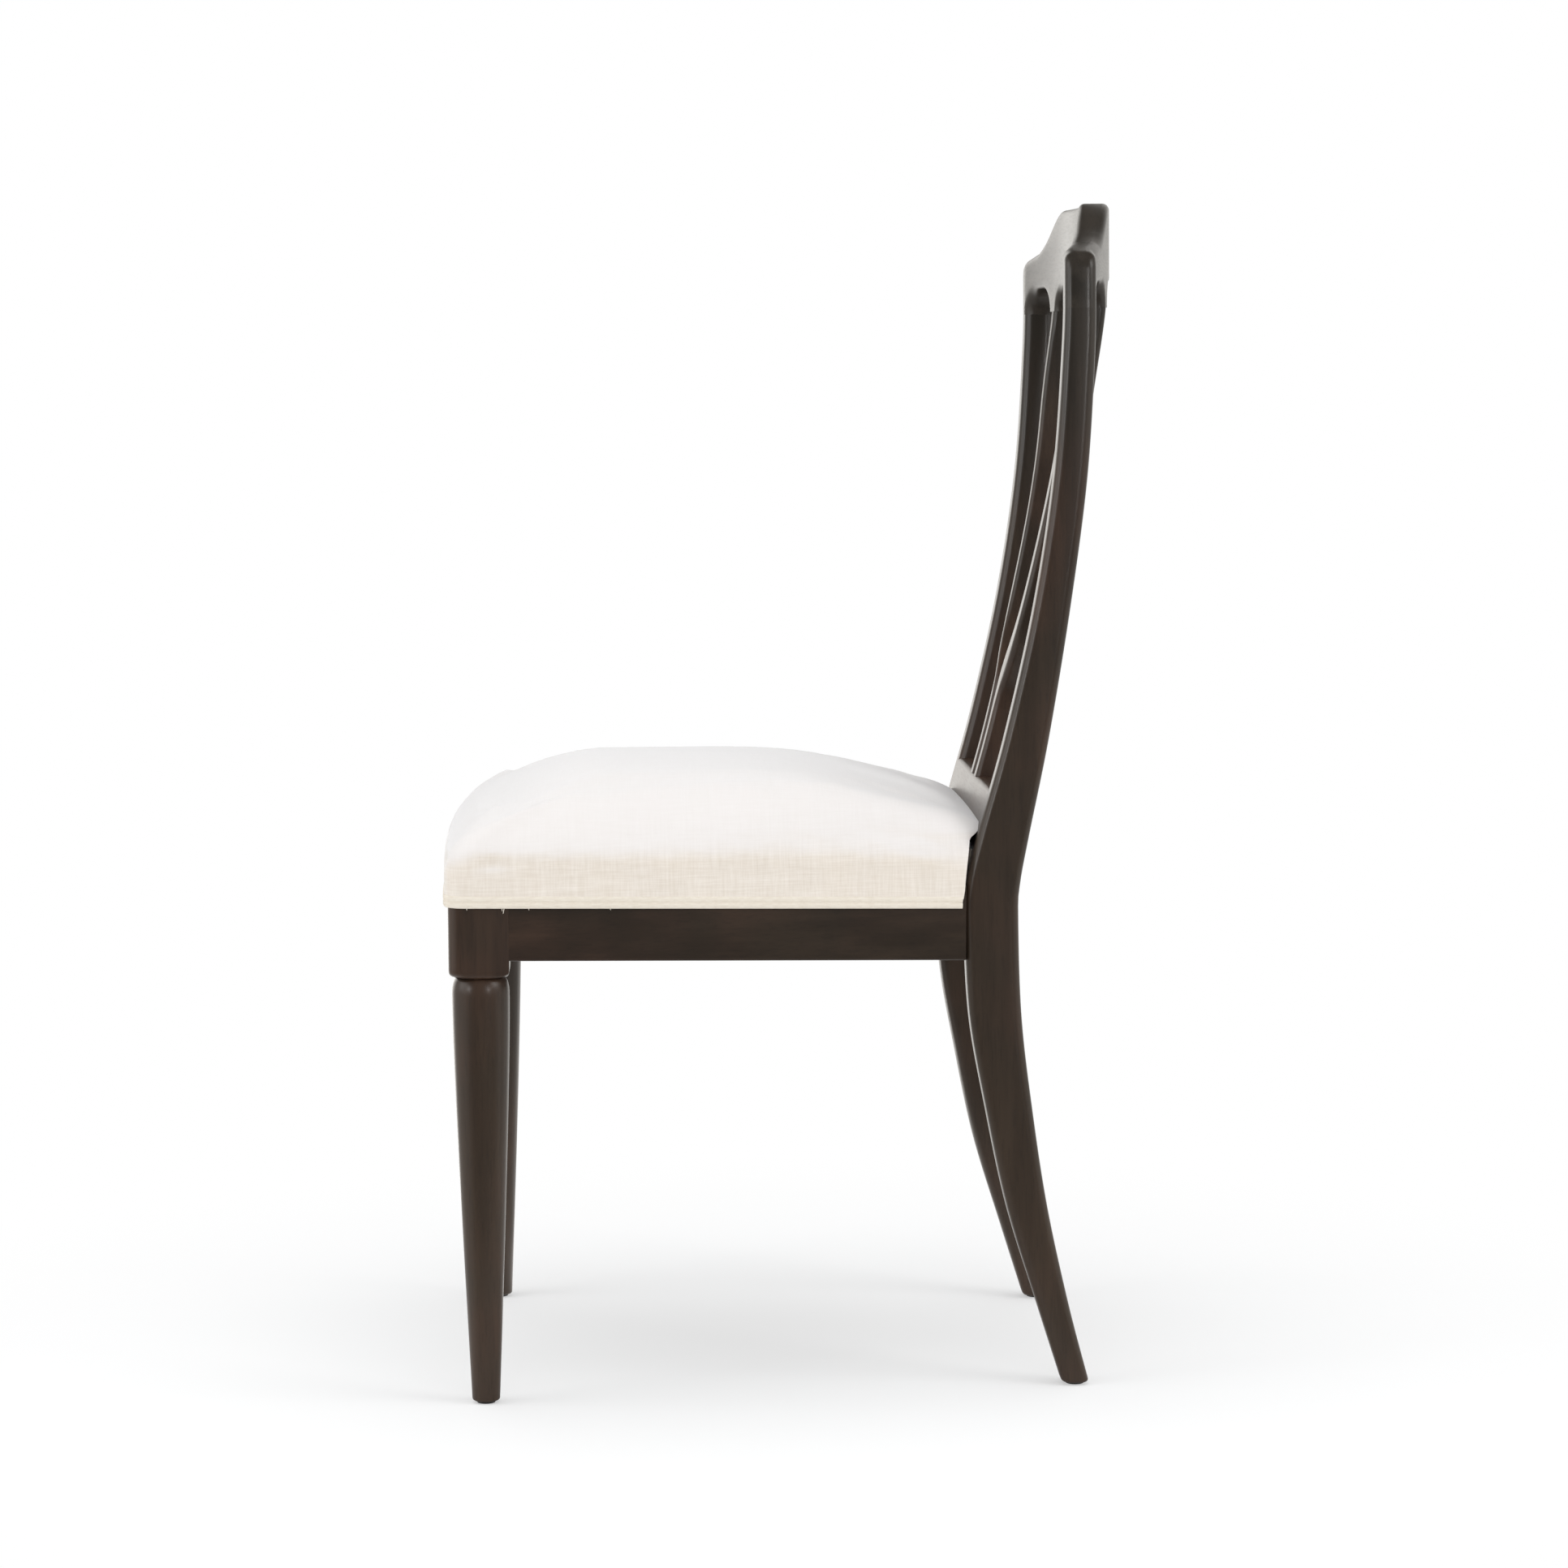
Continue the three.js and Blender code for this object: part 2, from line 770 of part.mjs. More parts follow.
function turnedLeg() {
  const profile = [new THREE.Vector2(0, glideThickness)];
  const foot = legFootDiameter / 2;
  profile.push(new THREE.Vector2(foot - legFootEase, glideThickness));
  profile.push(new THREE.Vector2(foot, glideThickness + legFootEase));
  const taper = new THREE.QuadraticBezierCurve(
    new THREE.Vector2(foot, glideThickness + legFootEase),
    new THREE.Vector2(legShoulderDiameter / 2, (legShoulderHeight * 4) / 5),
    new THREE.Vector2(legShoulderDiameter / 2, legShoulderHeight),
  );
  profile.push(...taper.getPoints(9).slice(1));
  const bead = (legShoulderDiameter - legNeckDiameter) / 2;
  const rise = legNeckHeight - legShoulderHeight;
  for (let i = 1; i <= 4; i++) {
    const angle = ((i / 4) * Math.PI) / 2;
    const radius = legNeckDiameter / 2 + bead * Math.cos(angle);
    profile.push(new THREE.Vector2(radius, legShoulderHeight + rise * Math.sin(angle)));
  }
  const spigotTop = legBlockBottom + overrun / 2;
  profile.push(new THREE.Vector2(legSpigotDiameter / 2, legNeckHeight));
  profile.push(new THREE.Vector2(legSpigotDiameter / 2, spigotTop));
  profile.push(new THREE.Vector2(0, spigotTop));
  const geometry = new THREE.LatheGeometry(profile, 24);
  geometry.rotateX(Math.PI / 2);
  geometry.translate(legX, legY, 0);
  return solidOf(geometry);
}

// Shares of the flare under the block: its reach and height half way, and where it is full.
const blockFlareShares = [0.75, 0.45, 1.6];

// The square block, its sides flush with the rails and its underside drawn in to the neck.
function legBlock() {
  const square = box(blockInner, chairHeight, -chairHeight, blockRear, legNeckHeight, frameTall[1]);
  const skin = planPrism(0, legNeckHeight, railTop, 0);
  const neck = legNeckDiameter / 2;
  const wide = legBlockWidth;
  const high = railTop - legNeckHeight;
  const flare = legBlockBottom - legNeckHeight;
  const [outShare, riseShare, fullShare] = blockFlareShares;
  const stages = [
    [neck, 0, neck],
    [neck + (wide / 2 - neck) * outShare, flare * riseShare, neck],
    [wide / 2 + blockCornerProud, flare, frameCorner / 4],
    [wide, flare * fullShare, railEase],
    [wide, high, railEase],
  ];
  const rings = stages.map(([half, rise, radius]) => {
    const corners = roundedRectangle(2 * half, 2 * half, [radius, radius, radius, radius], 4);
    return corners.map(([x, y]) => new THREE.Vector3(legX + x, legY + y, legNeckHeight + rise));
  });
  return solidOf(loft(rings)).intersect(square).intersect(skin);
}

function legBlank() {
  const block = legBlock().subtract(box(0, chairHeight, -chairHeight, 0, railTop, frameTall[1]));
  const cut = block.warp((vertex) => {
    if (vertex[2] > railBottom) vertex[2] += fallAt(vertex[1]);
  });
  return cut.add(turnedLeg());
}

// Dowels

// Ends of the dowels: two from each front leg into the side rail, two into the front rail.
function frameDowels() {
  const low = railBottom + (railTop - railBottom - dowelSpread) / 2;
  const half = dowelLength / 2;
  const sideCentre = sideX(blockRear) - railThickness / 2;
  const frontCentre = frontY(blockInner) + railThickness / 2;
  const places = [];
  for (let i = 0; i < 2; i++) {
    const z = low + i * dowelSpread;
    const tag = i === 0 ? "low" : "high";
    const sideZ = z + fallAt(blockRear);
    const side = (y) => new THREE.Vector3(sideCentre, y, sideZ);
    const front = (x) => new THREE.Vector3(x, frontCentre, z);
    places.push(["side_dowel_" + tag, side(blockRear - half), side(blockRear + half)]);
    places.push(["front_dowel_" + tag, front(blockInner - half), front(blockInner + half)]);
  }
  return places;
}

function crestDowels() {
  const places = [];
  for (let i = 0; i < 2; i++) {
    const x = postX(postTop) + (i - 0.5) * crestDowelSpread;
    const y = postY(postTop);
    const half = dowelLength / 2;
    const from = new THREE.Vector3(x, y, postTop - half);
    const to = new THREE.Vector3(x, y, postTop + half);
    places.push(["crest_dowel_" + (i === 0 ? "inner" : "outer"), from, to]);
  }
  return places;
}

// Cuts a hole for each bar, a clearance larger all round.
function drilled(solid, places, diameter, sides) {
  let result = solid;
  places.forEach(([, from, to]) => {
    const along = to.clone().sub(from).normalize();
    const start = from.clone().addScaledVector(along, -glueGap);
    const end = to.clone().addScaledVector(along, glueGap);
    result = result.subtract(bar(start, end, diameter + 2 * glueGap, sides));
  });
  return result;
}

// Corner blocks

// Plan of a block across a corner, before the frame's inside cuts it to shape.
function blockPlan(corner, along, across) {
  const shape = new THREE.Shape();
  shape.moveTo(corner.x + overrun, corner.y - across * overrun);
  shape.lineTo(corner.x + overrun, corner.y + across * along);
  shape.lineTo(corner.x, corner.y + across * along);
  shape.lineTo(corner.x - along, corner.y);
  shape.lineTo(corner.x - along, corner.y - across * overrun);
  shape.closePath();
  return shape;
}

function cornerBlock(corner, across) {
  const shape = blockPlan(corner, blockReach, across);
  const geometry = new THREE.ExtrudeGeometry(shape, { depth: blockHeight, bevelEnabled: false });
  geometry.translate(0, 0, railBottom + blockInset);
  return solidOf(geometry).intersect(innerPrism(railThickness + glueGap, ...frameTall));
}

function frontCornerBlock() {
  const corner = new THREE.Vector2(blockInner, blockRear);
  const leg = box(
    blockInner - glueGap,
    chairHeight,
    -chairHeight,
    blockRear + glueGap,
    ...frameTall,
  );
  return sloped(cornerBlock(corner, 1).subtract(leg));
}

function rearCornerBlock() {
  const corner = new THREE.Vector2(postInner, frameRearY);
  const post = box(postInner - glueGap, chairHeight, frameRearY - glueGap, chairHeight, ...frameTall);
  const rail = box(-chairHeight, chairHeight, rearRailFrontY - glueGap, chairHeight, ...frameTall);
  return sloped(cornerBlock(corner, -1).subtract(post).subtract(rail));
}

// Where each screw starts and ends: one into each rail and one up into the deck.
function blockScrews(name, corner, across, facePlace) {
  const z = railBottom + blockInset + blockHeight / 2 + fallAt(corner.y);
  const sideY = corner.y + across * (blockReach / 2);
  const sideFace = sideX(sideY) - railThickness;
  const endX = corner.x - blockReach / 2;
  const tip = facePlace - across * screwBite;
  const alongSide = [
    new THREE.Vector3(sideFace + screwBite - screwLength, sideY, z + screwHeightRise),
    new THREE.Vector3(sideFace + screwBite, sideY, z + screwHeightRise),
  ];
  const alongEnd = [
    new THREE.Vector3(endX, tip + across * screwLength, z - screwHeightRise),
    new THREE.Vector3(endX, tip, z - screwHeightRise),
  ];
  const deckBase = railTop + fallAt(corner.y);
  const upX = corner.x - blockReach / 8;
  const upY = corner.y + across * (blockReach / 8);
  const alongUp = [
    new THREE.Vector3(upX, upY, deckBase + deckThickness / 2 - screwLength),
    new THREE.Vector3(upX, upY, deckBase + deckThickness / 2),
  ];
  return [
    [name + "_side_screw", ...alongSide],
    [name + "_end_screw", ...alongEnd],
    [name + "_deck_screw", ...alongUp],
  ];
}

// A round-head screw: the head sits before the first point.
function screwSolid(from, to) {
  const along = to.clone().sub(from).normalize();
  const headStart = from.clone().addScaledVector(along, -screwHeadHeight);
  const seat = from.clone().addScaledVector(along, glueGap);
  const shank = bar(from, to, screwShank, screwSides);
  return shank.add(bar(headStart, seat, screwHead, screwSides));
}

// Room for a screw: the shank's hole and a counterbore for the head and the driver.
function screwHole(from, to) {
  const along = to.clone().sub(from).normalize();
  const out = from.clone().addScaledVector(along, -blockReach);
  const bottom = from.clone().addScaledVector(along, 2 * glueGap);
  const tip = to.clone().addScaledVector(along, glueGap);
  const hole = bar(from, tip, screwShank + 2 * glueGap, screwSides);
  return hole.add(bar(out, bottom, screwHead + 2 * glueGap, screwSides));
}

function shankHole(from, to) {
  const along = to.clone().sub(from).normalize();
  return bar(from, to.clone().addScaledVector(along, glueGap), screwShank + 2 * glueGap, screwSides);
}

// Seat deck

function deckBlank() {
  const z0 = railTop + glueGap;
  const z1 = railTop + deckThickness;
  const plan = planPrism(-deckInset, z0, z1, 0);
  const front = box(-chairHeight, chairHeight, -chairHeight, frameRearY - coverPostGap, ...frameTall);
  const half = postInner - coverPostGap;
  const rear = box(-half, half, 0, rearRailBackY - deckInset, z0, z1);
  return sloped(plan.intersect(front).add(rear));
}

// Cushion: foam and cover share one crowned form

// The form's surface height above the level seat frame.
function crownZ(x, y) {
  const back = Math.max(0, (y - crownY) / (frameRearY - crownY));
  const side = x / frameFrontHalf;
  return crownHeight - crownRearFall * back ** 2 - crownSideFall * side ** 2;
}

// One ring of the form: inset 0 is its widest outline and 1 the edge of its crown.
function cushionRing(outline, inset, shrink) {
  const base = coverEdgeHeight;
  const lift = Math.sqrt(1 - (1 - inset) ** 2);
  return outline.map((point) => {
    const back = (point.y - frameFrontY) / (frameRearY - frameFrontY);
    const roundSide = roundSideFront + (roundSideRear - roundSideFront) * back;
    const narrow = 1 - (inset * roundSide) / sideX(point.y);
    const x = point.x * narrow;
    const y = point.y + inset * (roundFront + (-roundRear - roundFront) * back);
    const edge = base + fallAt(y);
    const z = edge + (crownZ(x, y) - shrink - edge) * lift;
    return new THREE.Vector3(x, y, z);
  });
}

// Carries the rear of a ring back with the leaning posts and lower rail.
function leanBack(ring) {
  return ring.map((p) => {
    const z = Math.max(p.z, railTop + fallAt(frameRearY));
    const back = Math.max(0, (p.y - frameRearY / 2) / (frameRearY / 2));
    const lean = postFront(z) - postFront(postSeatHeight);
    return new THREE.Vector3(p.x, p.y + lean * smooth(back), p.z);
  });
}

// Closed outline of the cushion, a distance outside the frame, with points along its rear.
function cushionOutline(distance) {
  const open = offsetOutline(fullOutline(5, 3, 6), distance);
  const rearY = frameRearY - coverPostGap + distance - coverProud;
  const ends = open.map((p) => new THREE.Vector2(p.x, Math.min(p.y, rearY)));
  const steps = 8;
  const last = ends[ends.length - 1];
  const first = ends[0];
  for (let i = 1; i < steps; i++) {
    const share = i / steps;
    ends.push(new THREE.Vector2(last.x + (first.x - last.x) * share, rearY));
  }
  return ends;
}

// Shares of the crown's outline at which its inner rings lie.
const crownRingShares = [0.66, 0.33];

function cushionForm(distance, shrink, hem) {
  const outline = cushionOutline(distance);
  const rings = [outline.map((p) => new THREE.Vector3(p.x, p.y, hem + fallAt(p.y)))];
  const edgeSteps = 6;
  for (let i = 0; i <= edgeSteps; i++) {
    const inset = 1 - Math.cos(((i / edgeSteps) * Math.PI) / 2);
    rings.push(leanBack(cushionRing(outline, inset, shrink)));
  }
  const crown = cushionRing(outline, 1, shrink);
  const middleY = (frameFrontY + frameRearY) / 2;
  crownRingShares.forEach((share) => {
    const ring = crown.map((p) => {
      const x = p.x * share;
      const y = middleY + (p.y - middleY) * share;
      return new THREE.Vector3(x, y, crownZ(x, y) - shrink);
    });
    rings.push(leanBack(ring));
  });
  return solidOf(loft(rings));
}

// The cover: a skin over the foam, open over the frame and over the rear of the deck.
function coverBlank() {
  const inside = coverProud - coverThickness;
  const outer = cushionForm(coverProud, 0, coverHem).add(coverTongue());
  const inner = cushionForm(inside, coverThickness, coverHem - overrun);
  const frame = sloped(planPrism(glueGap, frameTall[0], railTop + glueGap, 0));
  const skin = outer.subtract(inner).subtract(frame);
  return skin.subtract(tongueBox(glueGap, rearRailTop - overrun, tongueTop() - coverThickness));
}

function foamBlank() {
  const inside = coverProud - coverThickness - glueGap;
  const form = cushionForm(inside, coverThickness + glueGap, railTop);
  const far = chairHeight;
  const below = sloped(box(-far, far, -far, far, 0, railTop + deckThickness + glueGap));
  return form.subtract(below);
}

// Double welt: two cords side by side in one strip, swept along a run of points

// Share of a half turn that each cord's round face covers on either side of its middle.
const weltArcShare = 0.38;

function weltSection() {
  const radius = weltCord / 2;
  const steps = 4;
  const edge = radius * (1 + Math.sin(weltArcShare * Math.PI));
  const points = [[0, -edge]];
  [-1, 1].forEach((side) => {
    for (let i = 0; i <= steps; i++) {
      const angle = ((2 * i) / steps - 1) * weltArcShare * Math.PI;
      points.push([weltDepth * Math.cos(angle), radius * (side + Math.sin(angle))]);
    }
  });
  points.push([0, edge]);
  return points;
}

// Sweeps the section along a path; the section's first axis faces outwards from the frame.
function sweptWelt(path, outwards) {
  const section = weltSection();
  const rings = path.map((place, i) => {
    const out = new THREE.Vector3(outwards[i].x, outwards[i].y, 0);
    return section.map(([u, v]) => {
      const point = place.clone().addScaledVector(out, u);
      return point.setZ(place.z + v);
    });
  });
  return solidOf(loft(rings));
}

function sideWelt() {
  const outline = fullOutline(8, 4, 3);
  const centre = offsetOutline(outline, glueGap);
  const rearY = frameRearY - coverPostGap;
  const z = weltBottom + weltCord;
  const path = centre.map((p) => {
    const y = Math.min(p.y, rearY);
    return new THREE.Vector3(p.x, y, z + fallAt(y));
  });
  const outwards = outline.map((p, i) => {
    const out = centre[i].clone().sub(p).normalize();
    const atEnd = i === 0 || i === outline.length - 1;
    return atEnd ? new THREE.Vector2(Math.sign(out.x), 0) : out;
  });
  return sweptWelt(path, outwards);
}

function rearWelt() {
  const half = postInner - coverPostGap;
  const y = rearRailBackY + glueGap * 2 + coverThickness;
  const z = rearRailTop - tenonShoulder - weltCord;
  const path = [new THREE.Vector3(-half, y, z), new THREE.Vector3(half, y, z)];
  const back = new THREE.Vector2(0, 1);
  return sweptWelt(path, [back, back]);
}

// The cover's rear tongue: over the rear rail and down its back, between the posts.
function coverTongue() {
  return tongueBox(glueGap + coverThickness, rearRailTop - tenonShoulder - 2 * weltCord, tongueTop());
}

function tongueTop() {
  return railTop + fallAt(frameRearY) + deckThickness + glueGap + coverThickness;
}

// A block between the posts that reaches a distance behind the rear rail.
function tongueBox(behind, z0, z1) {
  const half = postInner - coverPostGap;
  return box(-half, half, frameRearY / 2, rearRailBackY + behind, z0, z1);
}

// Dust cover: a thin sheet inside the rails, under the corner blocks
function dustCover() {
  const z1 = railBottom + blockInset - glueGap;
  const sheet = innerPrism(railThickness + glueGap, z1 - dustThickness, z1);
  const legs = box(blockInner - glueGap, chairHeight, -chairHeight, blockRear + glueGap, ...frameTall);
  const rear = box(-chairHeight, chairHeight, frameRearY - 2 * glueGap, chairHeight, ...frameTall);
  return sloped(sheet.subtract(legs).subtract(mirrored(legs)).subtract(rear));
}

// A glide: a disc with a nail up into the foot.
function glide(x, y) {
  const at = (z) => new THREE.Vector3(x, y, z);
  const disc = bar(at(0), at(glideThickness - glueGap), glideDiameter, glideSides);
  return disc.add(bar(at(glideThickness / 2), at(glideThickness + glideNailLength), glideNail, screwSides));
}

function glideHole(x, y) {
  const at = (z) => new THREE.Vector3(x, y, z);
  const end = glideThickness + glideNailLength + glueGap;
  return bar(at(0), at(end), glideNail + 2 * glueGap, screwSides);
}

// Putting the chair together

const frontCorner = new THREE.Vector2(blockInner, blockRear);
const rearCorner = new THREE.Vector2(postInner, frameRearY);
const frontScrews = blockScrews("front_block", frontCorner, 1, frontY(blockInner) + railThickness);
const rearScrews = blockScrews("rear_block", rearCorner, -1, rearRailFrontY);
const allScrews = [...frontScrews, ...rearScrews];
const railDowels = frameDowels();
const capDowels = crestDowels();

function drilledForScrews(solid, screws, hole) {
  let result = solid;
  screws.forEach(([, from, to]) => {
    result = result.subtract(hole(from, to));
  });
  return result;
}

// Cuts a pair of mirrored tools from a piece that spans the middle.
function cutBoth(solid, tool) {
  return solid.subtract(tool).subtract(mirrored(tool));
}

function buildFrame() {
  let post = postBlank().subtract(sideTenon(glueGap)).subtract(rearTenon(glueGap));
  post = post.subtract(lowerTenon(glueGap)).subtract(glideHole(postX(0), postY(glideThickness)));
  post = drilled(post, capDowels, dowelDiameter, dowelSides);
  addPair("rear_post", post, woodDark);

  const leg = legBlank().subtract(glideHole(legX, legY));
  addPair("front_leg", drilled(leg, railDowels, dowelDiameter, dowelSides), woodDark);

  let side = drilled(sideRailBlank(), railDowels, dowelDiameter, dowelSides);
  side = drilledForScrews(side, [frontScrews[0], rearScrews[0]], shankHole);
  addPair("side_rail", side, woodDark);

  const holeDiameter = dowelDiameter + 2 * glueGap;
  let front = frontRailBlank();
  railDowels.forEach(([, from, to]) => {
    const start = from.clone().setX(from.x - glueGap);
    front = cutBoth(front, bar(start, to, holeDiameter, dowelSides));
  });
  front = cutBoth(front, shankHole(frontScrews[1][1], frontScrews[1][2]));
  addNode("front_rail", geometryOf(front), woodDark);

  const rear = cutBoth(rearRailBlank(), shankHole(rearScrews[1][1], rearScrews[1][2]));
  addNode("rear_rail", geometryOf(rear), woodDark);
}

function buildBack() {
  const low = ribBase + glueGap;
  const high = ribHead - glueGap;
  const lower = cutBoth(lowerRailBlank(), ribTenon(low, -1, glueGap));
  addNode("lower_back_rail", geometryOf(lower), woodDark);
  addPair("back_rib", ribBlank(), woodDark);
  let crest = cutBoth(crestBlank(), ribTenon(high, 1, glueGap));
  capDowels.forEach(([, from, to]) => {
    const end = to.clone().setZ(to.z + glueGap);
    crest = cutBoth(crest, bar(from, end, dowelDiameter + 2 * glueGap, dowelSides));
  });
  addNode("crest_rail", geometryOf(crest), woodDark);
}

function buildHardware() {
  [...railDowels, ...capDowels].forEach(([name, from, to]) => {
    addPair(name, bar(from, to, dowelDiameter, dowelSides), woodRaw);
  });
  addPair("front_corner_block", drilledForScrews(frontCornerBlock(), frontScrews, screwHole), woodRaw);
  addPair("rear_corner_block", drilledForScrews(rearCornerBlock(), rearScrews, screwHole), woodRaw);
  allScrews.forEach(([name, from, to]) => {
    addPair(name, screwSolid(from, to), steel);
  });
  addPair("front_glide", glide(legX, legY), nylon);
  addPair("rear_glide", glide(postX(0), postY(glideThickness)), nylon);
}

function buildSeat() {
  let deck = deckBlank();
  [frontScrews[2], rearScrews[2]].forEach(([, from, to]) => {
    deck = cutBoth(deck, shankHole(from, to));
  });
  addNode("seat_deck", geometryOf(deck), woodRaw);
  addNode("foam_pad", geometryOf(foamBlank()), foam);
  addNode("seat_cover", geometryOf(coverBlank()), linen);
  addNode("double_welt", geometryOf(sideWelt()), linen);
  addNode("rear_double_welt", geometryOf(rearWelt()), linen);
  addNode("dust_cover", geometryOf(dustCover()), cambric);
}

buildFrame();
buildBack();
buildHardware();
buildSeat();

// The middle of the chair's outline stands at the origin.
const reach = new THREE.Box3().setFromObject(chair);
chair.position.y = -(reach.min.y + reach.max.y) / 2;

export default chair;
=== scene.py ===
"""Upholstered side chair with sabre rear legs: satin wood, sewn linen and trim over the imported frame.

Metres, +Z up, front towards -Y; "left" is towards -X, as seen from the front.
"""

import json
import math

import bmesh
import bpy
from mathutils import Matrix, Vector
from mathutils.kdtree import KDTree


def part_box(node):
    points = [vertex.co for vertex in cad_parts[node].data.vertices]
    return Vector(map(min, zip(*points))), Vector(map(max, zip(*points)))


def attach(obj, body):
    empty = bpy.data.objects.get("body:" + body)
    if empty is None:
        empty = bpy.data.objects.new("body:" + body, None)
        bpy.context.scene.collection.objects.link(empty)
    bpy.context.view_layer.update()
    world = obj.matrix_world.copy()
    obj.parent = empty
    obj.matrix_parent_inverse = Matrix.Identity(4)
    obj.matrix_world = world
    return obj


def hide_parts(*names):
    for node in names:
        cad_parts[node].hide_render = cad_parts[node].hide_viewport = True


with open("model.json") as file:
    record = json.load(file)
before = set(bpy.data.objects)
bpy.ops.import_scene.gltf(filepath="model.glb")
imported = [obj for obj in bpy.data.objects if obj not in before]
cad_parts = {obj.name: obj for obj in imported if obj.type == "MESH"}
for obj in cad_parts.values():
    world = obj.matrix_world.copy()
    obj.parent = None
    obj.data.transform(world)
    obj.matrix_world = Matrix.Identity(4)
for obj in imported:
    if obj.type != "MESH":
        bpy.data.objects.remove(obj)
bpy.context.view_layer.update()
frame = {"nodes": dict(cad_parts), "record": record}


def node_middle(name):
    low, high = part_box(name)
    return (Vector(low) + Vector(high)) / 2


# Frame of the seat, as the solids have it
FRAME_FRONT_HALF = 0.242
FRAME_DEPTH = 0.417
FRAME_BOW = 0.005
FRAME_CORNER = 0.016
SEAT_FALL = 0.012
RAIL_TOP = 0.424
RAIL_HEIGHT = 0.062
RAIL_THICK = 0.022
RAIL_EASE = 0.0018
RAIL_LIFT = 0.0012
LEG_FRONT_INSET = 0.0245

# Front legs
LEG_BLOCK = 0.047
LEG_BLOCK_DROP = 0.008
LEG_NECK_DROP = 0.0065
LEG_NECK = 0.037
LEG_SHOULDER_DROP = 0.0135
LEG_SHOULDER = 0.0462
LEG_FOOT = 0.0225
LEG_FOOT_EASE = 0.0022

# Rear posts
POST_WIDTH = 0.027
POST_SEAT_X = 0.167
POST_TOP_SPLAY = 0.012
POST_FOOT_SPLAY = 0.0105
POST_SEAT_DROP = 0.039
POST_FOOT_SWEEP = 0.067
POST_BACK_SWEEP = 0.0725
POST_SEAT_DEPTH = 0.0445
POST_EDGE = 0.0082
POST_EDGE_SHARE = 0.32
POST_FOOT_EASE = 0.0035
SPLAY_POWERS = (1.5, 1.3)

# Crest rail
CREST_THICK = 0.025
CREST_PROUD = 0.0013
CREST_BOW = 0.029
CREST_BOW_END = 0.173
CREST_BOW_POWER = 1.8
CREST_PLATEAU = 0.072
CREST_SHOULDER = 0.148
CREST_SHOULDER_FALL = 0.031
CREST_EAR_START = 0.130
CREST_EAR_FALL = 0.013
CREST_EAR_POWER = 1.2
CREST_END_REACH = 0.0095
CREST_END_DROP = 0.012
CREST_DEPTH = 0.0875
CREST_ARCH_RISE = 0.0215
CREST_RIB_NECK = 0.020
CREST_EDGE = 0.0052
CREST_EAR_EDGE = 0.0082

# Ribs and lower rail of the back
RIB_WIDTH = 0.019
RIB_DEPTH = 0.024
RIB_TOP_SPACING = 0.204
RIB_FLARE = 0.001
RIB_FLARE_REACH = 0.022
RIB_EDGE = 0.0055
RIB_MEET_REACH = 0.08
LOWER_RAIL_RISE = 0.017
LOWER_RAIL_HEIGHT = 0.047
LOWER_RAIL_THICK = 0.022
LOWER_RAIL_EDGE = 0.003
BACK_BOW = 0.029
BACK_BOW_POWER = 1.4
BACK_SPREAD_POWER = 1.6

# Cushion, its cover and welts
COVER_PROUD = 0.0026
COVER_THICK = 0.0016
COVER_EDGE_RISE = 0.006
COVER_POST_GAP = 0.002
CROWN_RISE = 0.0820
CROWN_SETBACK = 0.187
CROWN_REAR_FALL = 0.0435
CROWN_REAR_POWER = 2.7
CROWN_SIDE_FALL = 0.018
CROWN_LEVEL_SHARE = 0.8
ROUND_FRONT = 0.130
ROUND_SIDE_FRONT = 0.112
ROUND_SIDE_REAR = 0.034
DECK_THICK = 0.012
WELT_CORD = 0.0052
WELT_DEPTH = 0.0034
WELT_DROP = 0.0184
WELT_SPREAD_SHARE = 0.46
GAP = 0.0003

# Heights and places worked out from the sizes above and from the frame
CHAIR_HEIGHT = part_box("crest_rail")[1][2]
FOOT_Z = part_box("rear_post_left")[0][2]
RAIL_BOTTOM = RAIL_TOP - RAIL_HEIGHT
POST_SEAT_Z = RAIL_TOP - POST_SEAT_DROP
POST_TOP = CHAIR_HEIGHT - CREST_DEPTH
CREST_ARCH = POST_TOP + CREST_ARCH_RISE
LOWER_RAIL_BOTTOM = RAIL_TOP + LOWER_RAIL_RISE
LOWER_RAIL_TOP = LOWER_RAIL_BOTTOM + LOWER_RAIL_HEIGHT
LEG_X = node_middle("front_glide_right").x
LEG_Y = node_middle("front_glide_right").y
FRAME_FRONT_Y = LEG_Y - LEG_FRONT_INSET
FRAME_REAR_Y = FRAME_FRONT_Y + FRAME_DEPTH
POST_SEAT_Y = FRAME_REAR_Y + POST_SEAT_DEPTH / 2
BLOCK_INNER = LEG_X - LEG_BLOCK / 2
BLOCK_REAR = LEG_Y + LEG_BLOCK / 2
RIB_HEAD = CREST_ARCH - CREST_RIB_NECK
CROWN_Z = RAIL_TOP + CROWN_RISE
CROWN_Y = FRAME_FRONT_Y + CROWN_SETBACK
POST_INNER = POST_SEAT_X - POST_WIDTH / 2
CUSHION_EDGE = RAIL_TOP + COVER_EDGE_RISE
MIDDLE_Y = (FRAME_FRONT_Y + FRAME_REAR_Y) / 2


# Camera

CAMERA_AT = Vector((3.82181, LEG_Y + 0.11396, 0.82134))
CAMERA_YAW = math.radians(2.0817)
CAMERA_DIP = math.radians(5.0889)
CAMERA_ROLL = math.radians(0.43998)
CAMERA_LENS = 103.715


